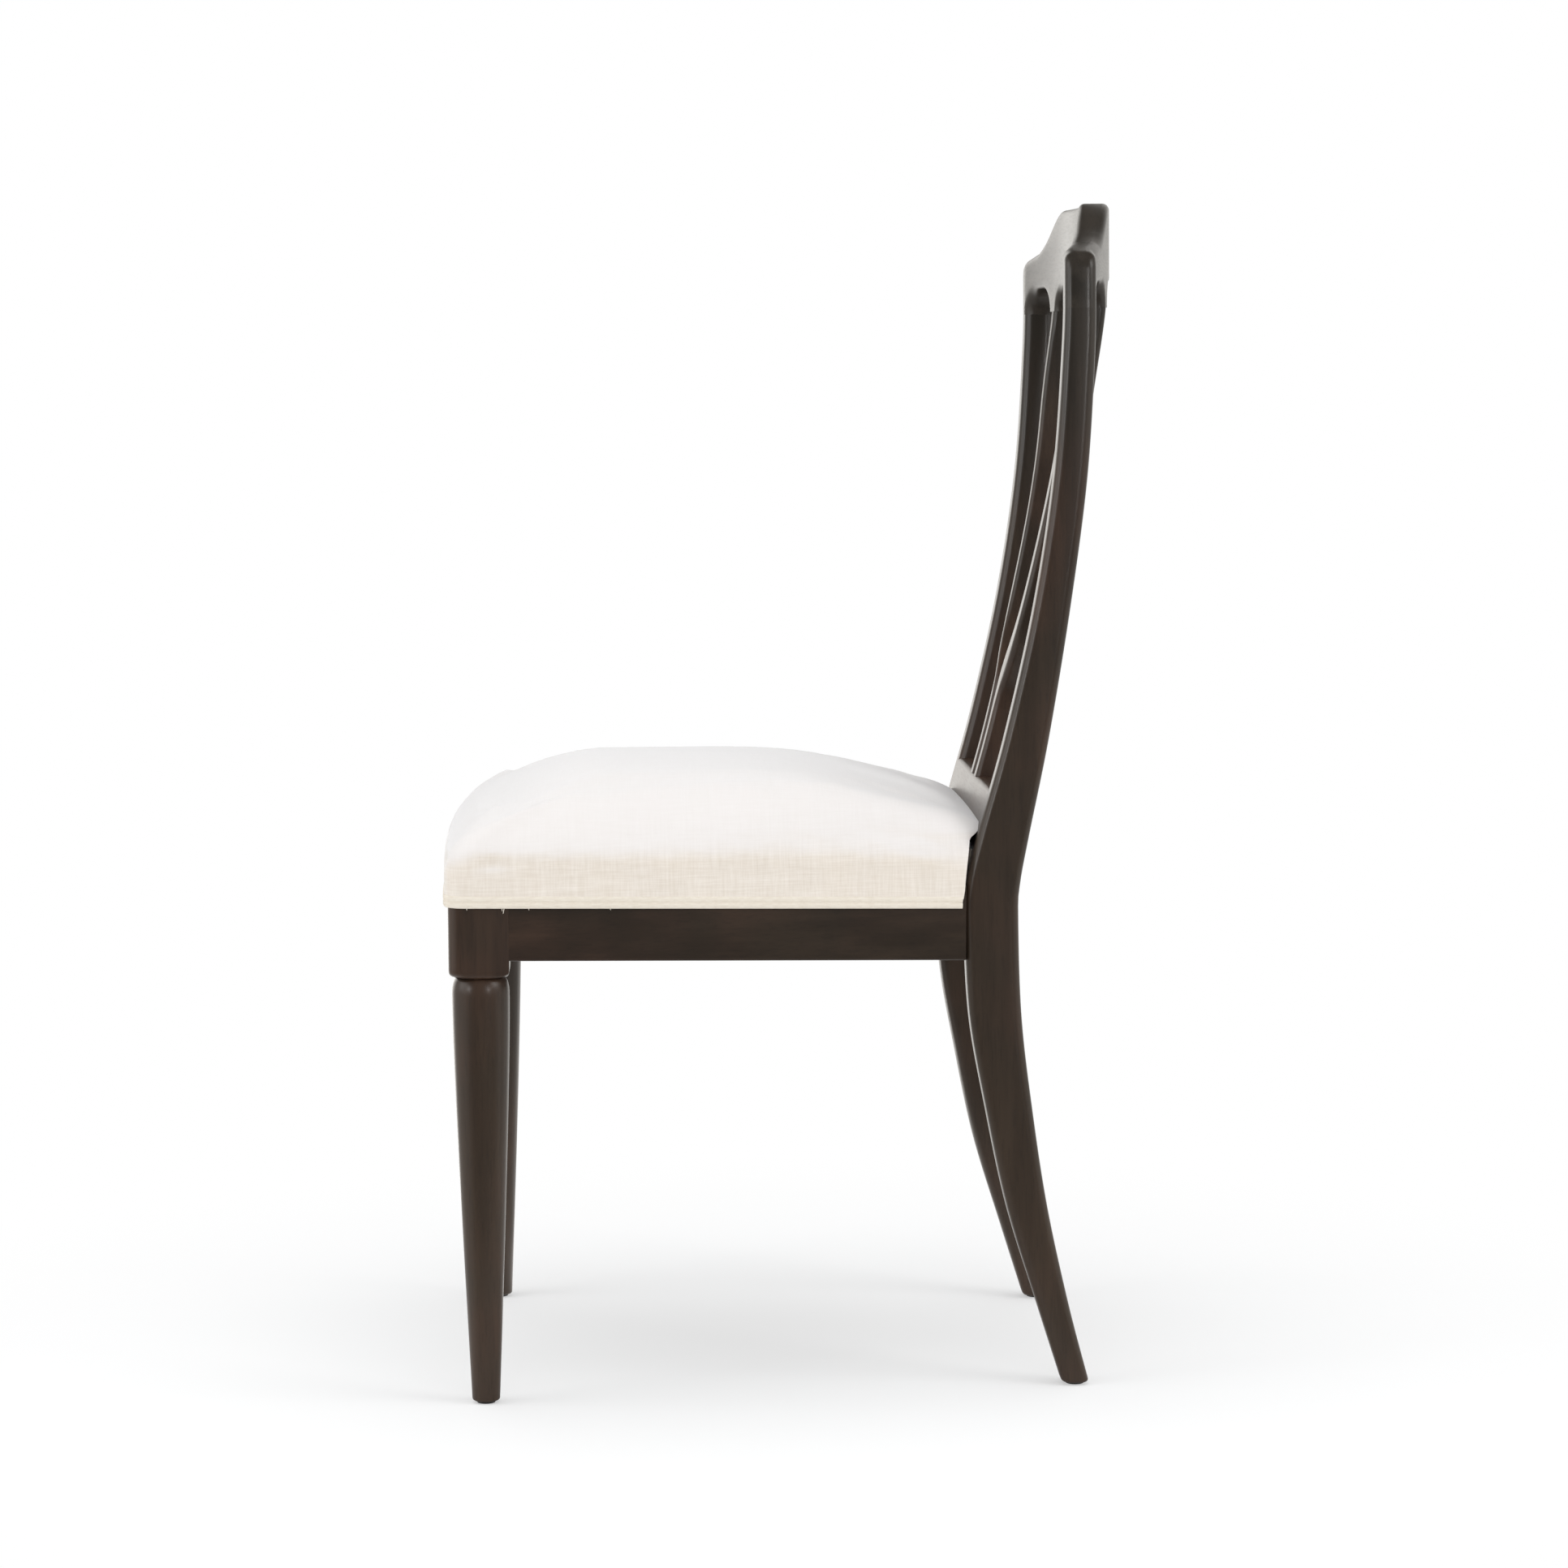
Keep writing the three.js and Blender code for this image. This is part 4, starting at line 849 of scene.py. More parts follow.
def rail_section():
    """Offsets inwards from the outer face and up from the lower edge, eased below."""
    eased = easing(RAIL_EASE, 4)
    offsets = [(rise, RAIL_LIFT + inset) for inset, rise in eased]
    offsets += [(RAIL_THICK - inset, RAIL_LIFT + rise) for inset, rise in eased]
    return offsets + [(RAIL_THICK, RAIL_HEIGHT), (0, RAIL_HEIGHT)]


def make_side_rails():
    rows = 30
    rings = [[] for _ in range(rows + 1)]
    for inwards, up in rail_section():
        end = post_front(RAIL_BOTTOM + fall_at(FRAME_REAR_Y) + up) + GAP / 2
        for ring, y in zip(rings, even(BLOCK_REAR, end, rows)):
            ring.append((side_x(y) - inwards, y, RAIL_BOTTOM + fall_at(y) + up))
    add_pair("tapered_side_rail", loft(rings), WOOD_DEEP, "side_rail")


def make_front_rail():
    rings = []
    for x in even(-BLOCK_INNER, BLOCK_INNER, 40):
        section = [(front_y(x) + inwards, up) for inwards, up in rail_section()]
        rings.append([(x, y, RAIL_BOTTOM + fall_at(y) + up) for y, up in section])
    add_piece("bowed_front_rail", loft(rings), WOOD_ACROSS, ("front_rail",))


def make_rear_rail():
    low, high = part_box("rear_rail")
    middle = node_middle("rear_rail")
    section = rounded_section(high[1] - low[1], high[2] - low[2], RAIL_EASE, 4)
    rings = []
    for x in even(-POST_INNER, POST_INNER, 2):
        rings.append([(x, middle.y + y, middle.z + z) for y, z in section])
    add_piece("plain_rear_rail", loft(rings), WOOD_ACROSS, ("rear_rail",))


# Front legs

NECK_Z = RAIL_BOTTOM - LEG_BLOCK_DROP - LEG_NECK_DROP
SHOULDER_Z = NECK_Z - LEG_SHOULDER_DROP
BLOCK_CORNER = 0.0001
BLOCK_FRONT_CORNER = 0.72 * FRAME_CORNER
LEG_BEND_SHARE = 0.8


def block_ring(z, grow):
    """The block's plan at a height: round at the neck (0) and square at full size (1)."""
    square = soft_step(grow)
    neck = (LEG_NECK - LEG_FOOT_EASE / 2) / 2
    half = neck + (LEG_BLOCK / 2 - neck) * math.sin(min(1, grow) * math.pi / 2)
    corners = [BLOCK_CORNER] * 3 + [BLOCK_FRONT_CORNER]
    radii = [half + (corner - half) * square for corner in corners]
    ring = []
    for u, v in rounded_section(2 * half, 2 * half, radii, 10):
        x, y = LEG_X + u, LEG_Y + v
        skewed_x = x + (side_x(y) - LEG_X - LEG_BLOCK / 2) * square * (x > LEG_X)
        skewed_y = y + (front_y(x) - LEG_Y + LEG_BLOCK / 2) * square * (y < LEG_Y)
        ring.append((skewed_x, skewed_y, z))
    return ring


def make_front_legs():
    flare = LEG_BLOCK_DROP + LEG_NECK_DROP / 3
    rings = [block_ring(NECK_Z + flare * (1 - math.cos(turn)), math.sin(turn)) for turn in quarter(14)]
    for share in even(0, 1, 8)[1:]:
        z = NECK_Z + flare + (RAIL_TOP - NECK_Z - flare) * share
        rings.append([(x, y, z + fall_at(y) * share) for x, y, _ in block_ring(z, 1)])
    add_pair("turned_leg", joined([loft(rings), turned_leg()]), WOOD_UPRIGHT, "front_leg")


def turned_leg():
    foot = LEG_FOOT / 2
    shoulder = LEG_SHOULDER / 2
    neck = LEG_NECK / 2
    profile = [(foot - inset, FOOT_Z + rise) for inset, rise in easing(LEG_FOOT_EASE, 4)]
    start = Vector((foot, FOOT_Z + LEG_FOOT_EASE))
    swell_at = Vector((shoulder, SHOULDER_Z * LEG_BEND_SHARE))
    profile += bend(start, swell_at, Vector((shoulder, SHOULDER_Z)), 40)[1:]
    for turn in quarter(12)[1:]:
        radius = neck + (shoulder - neck) * math.cos(turn)
        profile.append((radius, SHOULDER_Z + LEG_SHOULDER_DROP * math.sin(turn)))
    profile.append((neck - LEG_FOOT_EASE, NECK_Z + LEG_FOOT_EASE / 2))
    return lathe(profile, LEG_X, LEG_Y, 72)


def lathe(profile, x, y, sides):
    """A turned solid from (radius, height) pairs, with flat ends."""
    turns = [2 * math.pi * i / sides for i in range(sides)]
    rings = []
    for radius, z in profile:
        rings.append([(x + radius * math.cos(t), y + radius * math.sin(t), z) for t in turns])
    return loft(rings)


# Glides

GLIDE_EDGE = 0.0005


def make_glides():
    for place in ("front", "rear"):
        middle = node_middle(f"{place}_glide_right")
        low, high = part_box(f"{place}_glide_right")
        radius = (high[0] - low[0]) / 2
        top = FOOT_Z - GAP
        profile = [(radius - 2 * GLIDE_EDGE, 0), (radius - GLIDE_EDGE / 2, GLIDE_EDGE / 2)]
        profile += [(radius, 2 * GLIDE_EDGE), (radius - GLIDE_EDGE / 2, top)]
        shape = lathe(profile, middle.x, middle.y, 40)
        add_pair(f"{place}_foot_glide", shape, NYLON, f"{place}_glide")


# Seat cushion


def frame_outline(grow, bow_steps, corner_steps, side_steps):
    """The frame's open outline from the left rear to the right rear, grown outwards."""
    bow_end = FRAME_FRONT_HALF - FRAME_CORNER
    side_start = FRAME_FRONT_Y + FRAME_CORNER
    half = [Vector((x, front_y(x))) for x in even(0, bow_end, bow_steps)]
    corner = Vector((FRAME_FRONT_HALF, FRAME_FRONT_Y))
    first = half.pop()
    half += bend(first, corner, Vector((side_x(side_start), side_start)), corner_steps)
    half += [Vector((side_x(y), y)) for y in even(side_start, FRAME_REAR_Y, side_steps)[1:]]
    line = [Vector((-p.x, p.y)) for p in reversed(half[1:])] + half
    grown = []
    for i, point in enumerate(line):
        along = (line[min(i + 1, len(line) - 1)] - line[max(i - 1, 0)]).normalized()
        out = Vector((along.y, -along.x))
        if i in (0, len(line) - 1):
            grown.append(Vector((point.x + grow / out.x, point.y)))
        else:
            grown.append(point + out * grow)
    return grown


def cushion_outline(grow):
    """The closed outline of the cushion, with points along its rear."""
    rear_y = FRAME_REAR_Y - COVER_POST_GAP + grow - COVER_PROUD
    line = [Vector((p.x, min(p.y, rear_y))) for p in frame_outline(grow, 22, 10, 60)]
    return line + [Vector((x, rear_y)) for x in even(line[-1].x, line[0].x, 44)[1:-1]]


def crown_z(x, y):
    """Height of the crown: it falls to the sides and the rear, where it grows level across."""
    back = max(0.0, (y - CROWN_Y) / (FRAME_REAR_Y - CROWN_Y))
    side_fall = CROWN_SIDE_FALL * (1 - CROWN_LEVEL_SHARE * soft_step(back))
    return CROWN_Z - CROWN_REAR_FALL * back**CROWN_REAR_POWER - side_fall * (x / FRAME_FRONT_HALF) ** 2


def cushion_ring(outline, inset, shrink):
    """One ring of the crowned form: inset 0 is its widest and 1 the edge of its crown."""
    lift = math.sqrt(1 - (1 - inset) ** 2)
    ring = []
    for p in outline:
        back = (p.y - FRAME_FRONT_Y) / FRAME_DEPTH
        round_side = ROUND_SIDE_FRONT + (ROUND_SIDE_REAR - ROUND_SIDE_FRONT) * back
        x = p.x * (1 - inset * round_side / side_x(p.y))
        y = p.y + inset * ROUND_FRONT * (1 - back)
        edge = CUSHION_EDGE + fall_at(y)
        ring.append(Vector((x, y, edge + (crown_z(x, y) - shrink - edge) * lift)))
    return ring


LEAN_REACH = 0.014
LEAN_LOW_SHARE = 0.5
PRESS_RISE = 0.008
PRESS_REACH = 0.007


def rear_lean(z):
    """How far the cushion's rear runs back at a height: loosely low down, against the rail above."""
    low = RAIL_TOP + fall_at(FRAME_REAR_Y)
    pressed = soft_step((z - LOWER_RAIL_BOTTOM - PRESS_RISE) / PRESS_REACH)
    share = LEAN_LOW_SHARE + (1 - LEAN_LOW_SHARE) * pressed
    closed = (COVER_POST_GAP - GAP) * soft_step((z - low + LEAN_REACH) / LEAN_REACH)
    return (post_front(max(z, low)) - post_front(POST_SEAT_Z)) * share + closed


def lean_back(ring):
    """Carries the rear of a ring back with the leaning posts."""
    half = FRAME_REAR_Y / 2
    return [Vector((p.x, p.y + rear_lean(p.z) * soft_step(p.y / half - 1), p.z)) for p in ring]


def drawn_in(p, share):
    """A place on the seat drawn in towards its middle."""
    return p.x * share, MIDDLE_Y + (p.y - MIDDLE_Y) * share


def above_edge(p):
    """0 at the edge where the crown begins and 1 a little above it."""
    return soft_step((p.z - CUSHION_EDGE - fall_at(p.y)) / (4 * COVER_EDGE_RISE))


def cushion_rings(grow, shrink, hem):
    """Rings of the cushion's outer face, from its hem up to the middle of its crown."""
    outline = cushion_outline(grow)
    rings = []
    for z in even(hem, CUSHION_EDGE, HEM_ROWS)[:-1]:
        rings.append([Vector((p.x, p.y, z + fall_at(p.y))) for p in outline])
    rings += [cushion_ring(outline, 1 - math.cos(turn), shrink) for turn in quarter(26)]
    crown = cushion_ring(outline, 1, shrink)
    for share in even(1, 0, 10)[1:-1]:
        places = [drawn_in(p, share) for p in crown]
        rings.append([Vector((x, y, crown_z(x, y) - shrink)) for x, y in places])
    return [lean_back(ring) for ring in rings]


def side_threads(normal, place):
    """Thread directions low on the cloth: level and upright, turning at the front corners."""
    return (place.y if abs(normal.x) > abs(normal.y) else place.x, place.z)


def crown_threads(normal, place):
    return (place.x, place.y)


CLOTH_MAPS = {"cloth": side_threads, "crown": crown_threads}


HEM_ROWS = 5
CUSHION_SHRINK = 0.0035
CUSHION_CAP = 0.006
PAD_VOXEL = 0.006
PAD_PRESSURE = 4
PAD_TENSION = 25
PAD_BENDING = 0.8
PAD_FRAMES = 20
PAD_REAR_SHARE = 0.75


def trial_pad():
    """A pad slightly smaller than the cushion, in faces of one size, held round its foot."""
    rings = cushion_rings(COVER_PROUD - CUSHION_SHRINK, CUSHION_SHRINK, RAIL_TOP)
    pad = bpy.data.objects.new("pad_trial", closed_mesh("pad_trial", loft(rings)))
    bpy.context.scene.collection.objects.link(pad)
    remesh = pad.modifiers.new("remesh", "REMESH")
    remesh.mode = "VOXEL"
    remesh.voxel_size = PAD_VOXEL
    depsgraph = bpy.context.evaluated_depsgraph_get()
    mesh = bpy.data.meshes.new_from_object(pad.evaluated_get(depsgraph))
    pad.modifiers.remove(remesh)
    pad.data = mesh
    held = pad.vertex_groups.new(name="held")
    for vertex in mesh.vertices:
        held.add([vertex.index], 1 - above_edge(vertex.co), "REPLACE")
    return pad


def swollen_form():
    """How the pad swells under pressure inside its cover: places and moves."""
    pad = trial_pad()
    starts = [v.co.copy() for v in pad.data.vertices]
    cloth = pad.modifiers.new("cloth", "CLOTH")
    cloth.settings.use_pressure = True
    cloth.settings.uniform_pressure_force = PAD_PRESSURE
    cloth.settings.effector_weights.gravity = 0
    cloth.settings.vertex_group_mass = "held"
    cloth.settings.tension_stiffness = PAD_TENSION
    cloth.settings.bending_stiffness = PAD_BENDING
    cloth.point_cache.frame_start = 1
    cloth.point_cache.frame_end = PAD_FRAMES
    scene = bpy.context.scene
    for step in range(PAD_FRAMES):
        scene.frame_set(step + 1)
    depsgraph = bpy.context.evaluated_depsgraph_get()
    ended = pad.evaluated_get(depsgraph).data
    moves = [v.co - start for v, start in zip(ended.vertices, starts)]
    scene.frame_set(1)
    bpy.data.objects.remove(pad)
    return starts, moves


def swell(rings, starts, moves):
    """Moves the rings above the hem by the nearby cloth's move, up to a cap."""
    tree = KDTree(len(starts))
    for i, start in enumerate(starts):
        tree.insert(start, i)
    tree.balance()
    for ring in rings:
        for i, p in enumerate(ring):
            found = tree.find_n(p, 6)
            total = sum((moves[n] for _, n, _ in found), Vector()) / len(found)
            if total.length > CUSHION_CAP:
                total = total.normalized() * CUSHION_CAP
            back = (p.y / FRAME_REAR_Y - PAD_REAR_SHARE) / (1 - PAD_REAR_SHARE)
            share = above_edge(p) * (1 - soft_step(back))
            ring[i] = p + (total - total.normalized() * CUSHION_SHRINK) * share


def make_cushion():
    hem = RAIL_TOP - WELT_DROP + WELT_CORD * 3 / 2
    shelf = RAIL_TOP + DECK_THICK + GAP
    rings = cushion_rings(COVER_PROUD, 0, hem)
    swell(rings[HEM_ROWS:], *swollen_form())
    inner = cushion_outline(COVER_PROUD - COVER_THICK)
    inside = [[(*drawn_in(p, 0.5), shelf + fall_at(p.y)) for p in inner]]
    inside += [[(p.x, p.y, z + fall_at(p.y)) for p in inner] for z in (shelf, hem)]
    stands_for = ("seat_cover", "foam_pad")
    cushion = add_piece("linen_cushion", loft(inside + rings), LINEN, stands_for, maps=CLOTH_MAPS)


TONGUE_EDGE = 0.006


def make_rear_tongue():
    """The cover's rear part: between the posts, over the rear rail and down its back."""
    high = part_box("rear_rail")[1]
    half = POST_INNER - COVER_POST_GAP
    back = high[1] + COVER_THICK + GAP
    top = LOWER_RAIL_BOTTOM - GAP
    start = FRAME_REAR_Y - 8 * COVER_POST_GAP
    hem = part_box("rear_double_welt")[1][2] - WELT_CORD / 2
    shelf = high[2] + DECK_THICK + GAP
    profile = [(back, hem)]
    profile += [(back - rise, top - inset) for inset, rise in easing(2 * TONGUE_EDGE, 6)]
    profile += [(start, top), (start, shelf), (back - COVER_THICK, shelf), (back - COVER_THICK, hem)]
    rings = []
    for x in even(-half, half, 24):
        drop = TONGUE_EDGE / 3 * (1 - soft_step((half - abs(x)) / TONGUE_EDGE))
        rings.append([(x, y, z - drop * (z > shelf)) for y, z in profile])
    tongue = add_piece("linen_rear", loft(rings), LINEN, maps=CLOTH_MAPS)


# Double welt and stitches by geometry nodes


class Tree:
    """A geometry node tree, with named sizes as its inputs."""

    def __init__(self, name, material, sizes):
        self.material = material
        self.sizes = sizes
        self.group = bpy.data.node_groups.new(name, "GeometryNodeTree")
        face = self.group.interface
        face.new_socket("Geometry", in_out="INPUT", socket_type="NodeSocketGeometry")
        self.sockets = {}
        for label in sizes:
            item = face.new_socket(label, in_out="INPUT", socket_type="NodeSocketFloat")
            self.sockets[label] = item.identifier
        face.new_socket("Geometry", in_out="OUTPUT", socket_type="NodeSocketGeometry")
        self.start = self.group.nodes.new("NodeGroupInput").outputs
        self.end = self.group.nodes.new("NodeGroupOutput").inputs

    def add(self, kind, inputs=None, output=0, **settings):
        """One output of a new node."""
        node = self.group.nodes.new(kind)
        for key, value in settings.items():
            setattr(node, key, value)
        for key, value in (inputs or {}).items():
            for source in value if isinstance(value, list) else [value]:
                if isinstance(source, bpy.types.NodeSocket):
                    self.group.links.new(source, node.inputs[key])
                else:
                    node.inputs[key].default_value = source
        return node.outputs[output]

    def vector(self, *numbers):
        return self.add("ShaderNodeCombineXYZ", dict(enumerate(numbers)))

    def marked(self, geometry, label, output):
        """A path that carries a measure along itself under a name."""
        measure = self.add("GeometryNodeSplineParameter", output=output)
        inputs = {0: geometry, "Name": label, "Value": measure}
        return self.add("GeometryNodeStoreNamedAttribute", inputs, data_type="FLOAT", domain="POINT")

    def finish(self, geometry):
        real = self.add("GeometryNodeRealizeInstances", {0: geometry})
        dressed = self.add("GeometryNodeSetMaterial", {0: real, "Material": self.material})
        self.group.links.new(dressed, self.end[0])

    def bake(self, places, name, slot, replaced=()):
        """Runs the tree on a path through places and keeps the result as one plain mesh."""
        curve = bpy.data.curves.new(name, "CURVE")
        curve.dimensions = "3D"
        line = curve.splines.new("POLY")
        line.points.add(len(places) - 1)
        for point, place in zip(line.points, places):
            point.co = (*place, 1)
        path = bpy.data.objects.new("path", curve)
        bpy.context.scene.collection.objects.link(path)
        modifier = path.modifiers.new("shape", "NODES")
        modifier.node_group = self.group
        for label, value in self.sizes.items():
            modifier[self.sockets[label]] = value
        depsgraph = bpy.context.evaluated_depsgraph_get()
        mesh = bpy.data.meshes.new_from_object(path.evaluated_get(depsgraph))
        mesh.name = name
        bpy.data.objects.remove(path)
        return place_mesh(name, mesh, self.material, replaced, crease=50)


def welt_tree():
    """Two cords side by side along a path."""
    tree = Tree("double_welt", WELT_LINEN, {"Cord": WELT_CORD, "Depth": WELT_DEPTH})
    upright = tree.add("GeometryNodeSetCurveNormal", {0: tree.start[0]}, mode="Z_UP")
    path = tree.marked(upright, "run", "Length")
    circle = tree.add("GeometryNodeCurvePrimitiveCircle", {"Resolution": 20, "Radius": 0.5})
    ring = tree.marked(circle, "round", "Factor")
    size = tree.vector(tree.start["Depth"], tree.start["Cord"], 1.0)
    cords = []
    for side in (-WELT_SPREAD_SHARE, WELT_SPREAD_SHARE):
        drop = tree.add("ShaderNodeMath", {0: tree.start["Cord"], 1: side}, operation="MULTIPLY")
        inputs = {0: ring, "Translation": tree.vector(0.0, drop), "Scale": size}
        cords.append(tree.add("GeometryNodeTransform", inputs))
    both = tree.add("GeometryNodeJoinGeometry", {0: cords})
    swept = {"Curve": path, "Profile Curve": both, "Fill Caps": True}
    tree.finish(tree.add("GeometryNodeCurveToMesh", swept))
    return tree


STITCH_PITCH = 0.0034
STITCH_LENGTH = 0.0038
STITCH_THICK = 0.0007
STITCH_OUT_SHARE = 0.72


def stitch_tree():
    """Short stitches laid end to end along a path."""
    sizes = {"Pitch": STITCH_PITCH, "Length": STITCH_LENGTH, "Thick": STITCH_THICK}
    tree = Tree("stitches", THREAD, sizes)
    pitch = {0: tree.start[0], "Length": tree.start["Pitch"]}
    places = tree.add("GeometryNodeCurveToPoints", pitch, mode="LENGTH")
    drop = tree.add("GeometryNodeMeshUVSphere", {"Segments": 6, "Rings": 4, "Radius": 0.5})
    size = tree.vector(tree.start["Thick"], tree.start["Thick"], tree.start["Length"])
    turns = places.node.outputs["Rotation"]
    laid = {"Points": places, "Instance": drop, "Rotation": turns, "Scale": size}
    tree.finish(tree.add("GeometryNodeInstanceOnPoints", laid))
    return tree


def welt_line(grow, short):
    """A path round the cushion between the cords, cut short of the posts."""
    z = RAIL_TOP - WELT_DROP + WELT_CORD
    line = frame_outline(grow, 30, 14, 60)
    return [(p.x, min(p.y, FRAME_REAR_Y - short), z + fall_at(p.y)) for p in line]


def make_welts():
    welt = welt_tree()
    outline = welt_line(WELT_DEPTH / 2 + GAP, COVER_POST_GAP)
    welt.bake(outline, "corded_welt", "linen", ("double_welt",))
    low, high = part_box("rear_double_welt")
    middle = node_middle("rear_double_welt")
    rear = [(x, middle.y, middle.z) for x in even(low[0], high[0], 40)]
    welt.bake(rear, "corded_rear_welt", "linen", ("rear_double_welt",))
    between = welt_line(WELT_DEPTH * STITCH_OUT_SHARE + GAP, 3 * COVER_POST_GAP)
    stitch_tree().bake(between, "welt_stitches", "linen")


# Loose ends of thread under the welt near the front: place along the side, length and slant, as shares

LOOSE_END = 0.004
LOOSE_THICK = 0.0007
LOOSE_END_SHARES = (
    (0.036, 0.35, 0.1),
    (0.103, 0.5, 0.1),
    (0.107, 1, -0.2),
    (0.154, 0.3, 0.1),
    (0.31, 0.3, 0.2),
)


def make_loose_ends():
    """Short white ends that hang from the lower cord over the rail."""
    ends = []
    for along, length, slant in LOOSE_END_SHARES:
        y = FRAME_FRONT_Y + FRAME_DEPTH * along
        top = Vector((side_x(y) + LOOSE_THICK, y, RAIL_TOP - WELT_DROP + fall_at(y)))
        rings = []
        for share in (0, 0.4, 0.8, 1):
            middle = top + Vector((0, slant, -1)) * (LOOSE_END * length * share)
            thick = LOOSE_THICK * (1 - share / 2)
            section = rounded_section(thick, thick, thick / 3, 2)
            rings.append([(middle.x + u, middle.y + v, middle.z) for u, v in section])
        ends.append(loft(rings))
    add_piece("loose_thread_ends", joined(ends), THREAD)


# Dust cover

DUST_THICK = 0.0006
DUST_TURN = 0.004
DUST_SAG = 0.003
DUST_HEM = 0.012
DUST_COLUMNS = 40
DUST_CORNER_COLUMNS = 3
DUST_ROWS = 36
DUST_FRONT_ROWS = 4
DUST_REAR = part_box("rear_rail")[0][1] - GAP


def dust_place(u, y, half):
    """A point of the cloth's underside: level between the rails, sagging towards the middle."""
    front = FRAME_FRONT_Y + RAIL_THICK
    v = 2 * (y - front) / (DUST_REAR - front) - 1
    sag = DUST_SAG * (1 - u * u) * max(0.0, 1 - v * v)
    return Vector((u * half, y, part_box("dust_cover")[1][2] + fall_at(y) - DUST_THICK - sag))


def dust_rows():
    """Rows of points from the front edge to the rear; front rows stop at the leg blocks."""
    start = BLOCK_REAR + GAP
    widest = side_x(start) - RAIL_THICK - GAP
    inner = (BLOCK_INNER - GAP) / widest
    shares = even(-inner, inner, DUST_COLUMNS)
    corner = even(inner, 1, DUST_CORNER_COLUMNS)[1:]
    rows = [[] for _ in range(DUST_FRONT_ROWS)]
    for u in shares:
        edge = front_y(u * widest) + RAIL_THICK + GAP
        for row, y in zip(rows, even(edge, start, DUST_FRONT_ROWS)):
            row.append(dust_place(u, y, widest))
    for y in even(start, DUST_REAR, DUST_ROWS):
        half = side_x(y) - RAIL_THICK - GAP
        if y > FRAME_REAR_Y - GAP:
            half = min(half, POST_INNER - GAP)
        rows.append([dust_place(u, y, half) for u in [-u for u in reversed(corner)] + shares + corner])
    return rows


def dust_mesh():
    """The cloth as a thin closed mesh with its turned edge, and the area of its flat part."""
    body = bmesh.new()
    grid = [[body.verts.new(p) for p in row] for row in dust_rows()]
    for low, high in zip(grid, grid[1:]):
        skip = (len(high) - len(low)) // 2
        for i in range(len(low) - 1):
            body.faces.new((low[i], low[i + 1], high[i + 1 + skip], high[i + skip]))
    area = sum(face.calc_area() for face in body.faces)
    rim = [edge for edge in body.edges if edge.is_boundary]
    for item in bmesh.ops.extrude_edge_only(body, edges=rim)["geom"]:
        if isinstance(item, bmesh.types.BMVert):
            item.co.z += DUST_TURN
    bmesh.ops.recalc_face_normals(body, faces=body.faces)
    bmesh.ops.solidify(body, geom=body.faces[:], thickness=DUST_THICK)
    bmesh.ops.recalc_face_normals(body, faces=body.faces)
    mesh = bpy.data.meshes.new("black_dust_cover")
    body.to_mesh(mesh)
    body.free()
    return mesh, area


def make_dust_cover():
    """Black cloth stretched under the seat, its edge turned up against the rails."""
    mesh, area = dust_mesh()
    sheet = place_mesh("black_dust_cover", mesh, DUST_CLOTH, ("dust_cover",), crease=70)
    front = FRAME_FRONT_Y + RAIL_THICK
    width = 2 * (side_x(front) - RAIL_THICK) + 2 * DUST_HEM
    rim_length = 2 * (width + DUST_REAR - front)
    area + rim_length * DUST_HEM


# Floor, lamps and room

FLOOR_REACH = 14
FLOOR_LIFT = 0.44
FLOOR_NEAR = 0.35
FLOOR_FAR = 0.95
MIRROR_BACK = 1.2
MIRROR_SCREEN = 3.0
MIRROR_BAND = 0.75
MIRROR_DIM = 0.07
MIRROR_TINT = (1, 0.98, 0.94)
SKY_LEVEL = 0.58
FLOOR_COLOUR = (0.96, 0.96, 0.96, 1)
WHITE = (1, 1, 1, 1)
COOL = (0.95, 0.98, 1)
LAMP_LARGE = 2.6
LAMP_MIDDLE = 2.2
LAMP_SMALL = 1.6
LAMP_SCREEN = 0.36


def ray_kinds(finish):
    """Shares of camera rays and of mirror rays."""
    camera = finish.add("LightPath", output="Is Camera Ray")
    mirrored = camera.beside("Is Glossy Ray") + camera.beside("Is Transmission Ray")
    return camera, mirrored.clamped()


def grey(level):
    """A level of light, slightly warm."""
    return tuple(level * share for share in MIRROR_TINT) + (1,)


def mirror_colour(finish, way):
    """What polished faces mirror: white far behind, a bright screen round it, bands to both sides."""
    ahead = finish.add("SeparateXYZ", {"Vector": way})
    across = ahead.beside("Y")
    sideways = across.size()
    edges = finish.blend(sideways.ramp(0.7, 0.92), grey(MIRROR_DIM), grey(MIRROR_BAND))
    screen = finish.blend((across * -1).ramp(0.15, 0.3), grey(MIRROR_BACK), grey(MIRROR_SCREEN))
    high = ahead.beside("Z").ramp(0.1, 0.5) * (1 - sideways.ramp(0.06, 0.2))
    screen = finish.blend(high, screen, grey(MIRROR_DIM))
    return finish.blend(ahead.ramp(-0.85, -0.5), screen, edges)


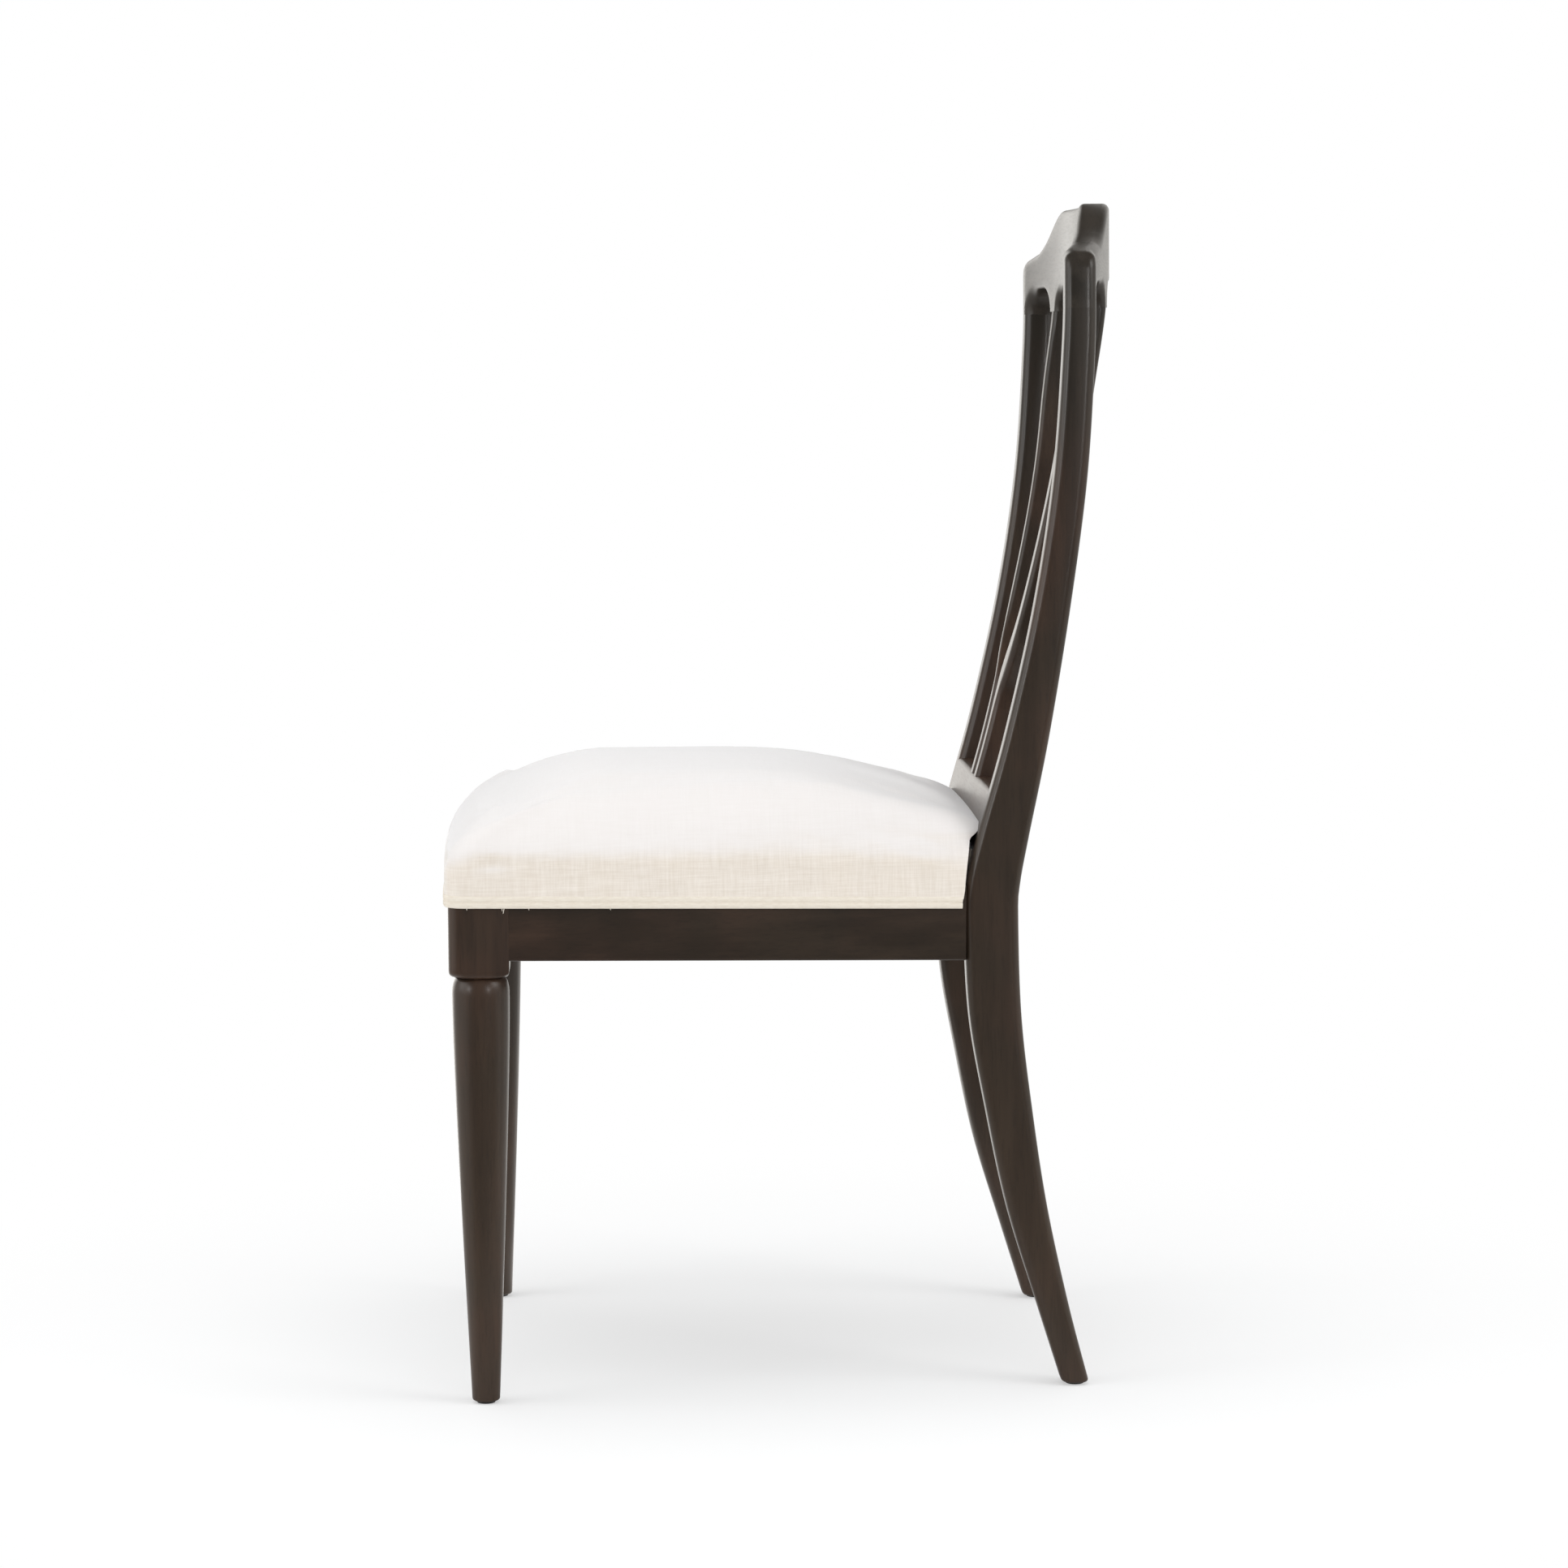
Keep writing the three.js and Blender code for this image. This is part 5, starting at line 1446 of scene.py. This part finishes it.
def stage_floor():
    """A pale floor that keeps the shadow near the chair and turns plain white further off."""
    mesh = bpy.data.meshes.new("floor")
    corners = [(-1, -1), (1, -1), (1, 1), (-1, 1)]
    mesh.from_pydata([(x * FLOOR_REACH, y * FLOOR_REACH, 0) for x, y in corners], [], [(0, 1, 2, 3)])
    floor = bpy.data.objects.new("floor", mesh)
    bpy.context.scene.collection.objects.link(floor)
    finish = Finish("pale_floor")
    place = finish.place()
    reach = finish.add("VectorMath", {0: place}, output=1, operation="LENGTH")
    far = reach.ramp(FLOOR_NEAR, FLOOR_FAR)
    camera, mirrored = ray_kinds(finish)
    grain = finish.noise(place, 300) * 0.01
    matte = finish.add("BsdfDiffuse", {"Color": finish.blend(grain, FLOOR_COLOUR, WHITE)})
    way = finish.add("VectorMath", {0: place}, operation="NORMALIZE")
    shine = finish.blend(mirrored, WHITE, mirror_colour(finish, way))
    glow = finish.add("Emission", {"Color": shine})
    share = (camera + mirrored).clamped() * (FLOOR_LIFT + (1 - FLOOR_LIFT) * far)
    finish.add("OutputMaterial", {"Surface": finish.add("MixShader", {0: share, 1: matte, 2: glow})})
    mesh.materials.append(finish.material)


def make_light():
    """A soft white room, dim behind the camera and overhead, with lamps and screens."""
    world = bpy.data.worlds.new("studio")
    bpy.context.scene.world = world
    finish = Finish("studio", owner=world)
    way = finish.place("Generated")
    camera, mirrored = ray_kinds(finish)
    unseen = finish.blend(mirrored, (SKY_LEVEL, SKY_LEVEL, SKY_LEVEL, 1), mirror_colour(finish, way))
    sky = finish.add("Background", {"Color": finish.blend(camera, unseen, WHITE)})
    finish.add("OutputWorld", {"Surface": sky})
    lamp("overhead", (0.2, -0.2, 2.9), (0, 0, 0.4), LAMP_LARGE, 31, mirrored=False, tint=COOL)
    lamp("fill", (3.2, 0.2, 1.2), (0, 0, 0.4), LAMP_LARGE, 15.5, mirrored=False)
    lamp("front", (0.8, -3.0, 1.5), (0, 0, 0.5), LAMP_MIDDLE, 29)
    lamp("screen_front", (2.2, -2.4, 0.92), (0.2, -0.2, 0.4), LAMP_SCREEN, 11, lights=False)
    lamp("screen_rear", (2.7, 1.4, 0.95), (0.2, -0.2, 0.4), LAMP_SCREEN, 11, lights=False)
    lamp("rear", (1.5, 2.8, 2.0), (0, 0, 0.5), LAMP_SMALL, 31)


def lamp(name, place, aim, size, power, mirrored=True, lights=True, tint=(1, 1, 1)):
    """A square lamp of a size and a power at a place, turned to an aim."""
    light = bpy.data.lights.new(name, "AREA")
    light.shape = "SQUARE"
    light.size = size
    light.energy = power
    light.color = tint
    holder = bpy.data.objects.new(name, light)
    holder.visible_glossy = mirrored
    holder.visible_diffuse = lights
    away = Vector(place) - Vector(aim)
    holder.matrix_world = Matrix.Translation(place) @ away.to_track_quat("Z", "Y").to_matrix().to_4x4()
    bpy.context.scene.collection.objects.link(holder)


# Finishes of the hidden solids that stay


def dress_solids():
    finishes = {"wood_raw": RAW_WOOD, "screw_steel": STEEL, "cambric": DUST_CLOTH}
    for part in frame["record"]["subparts"]:
        finish = finishes.get(part["material_slot"])
        if finish:
            solid = frame["nodes"][part["node"]]
            for slot in solid.material_slots:
                slot.material = finish


make_camera()
stage_floor()
make_light()
make_posts()
make_ribs()
make_crest()
make_lower_rail()
make_side_rails()
make_front_rail()
make_rear_rail()
make_front_legs()
make_glides()
make_cushion()
make_rear_tongue()
make_welts()
make_loose_ends()
make_dust_cover()
dress_solids()

scene = bpy.context.scene
scene.view_settings.view_transform = "Standard"
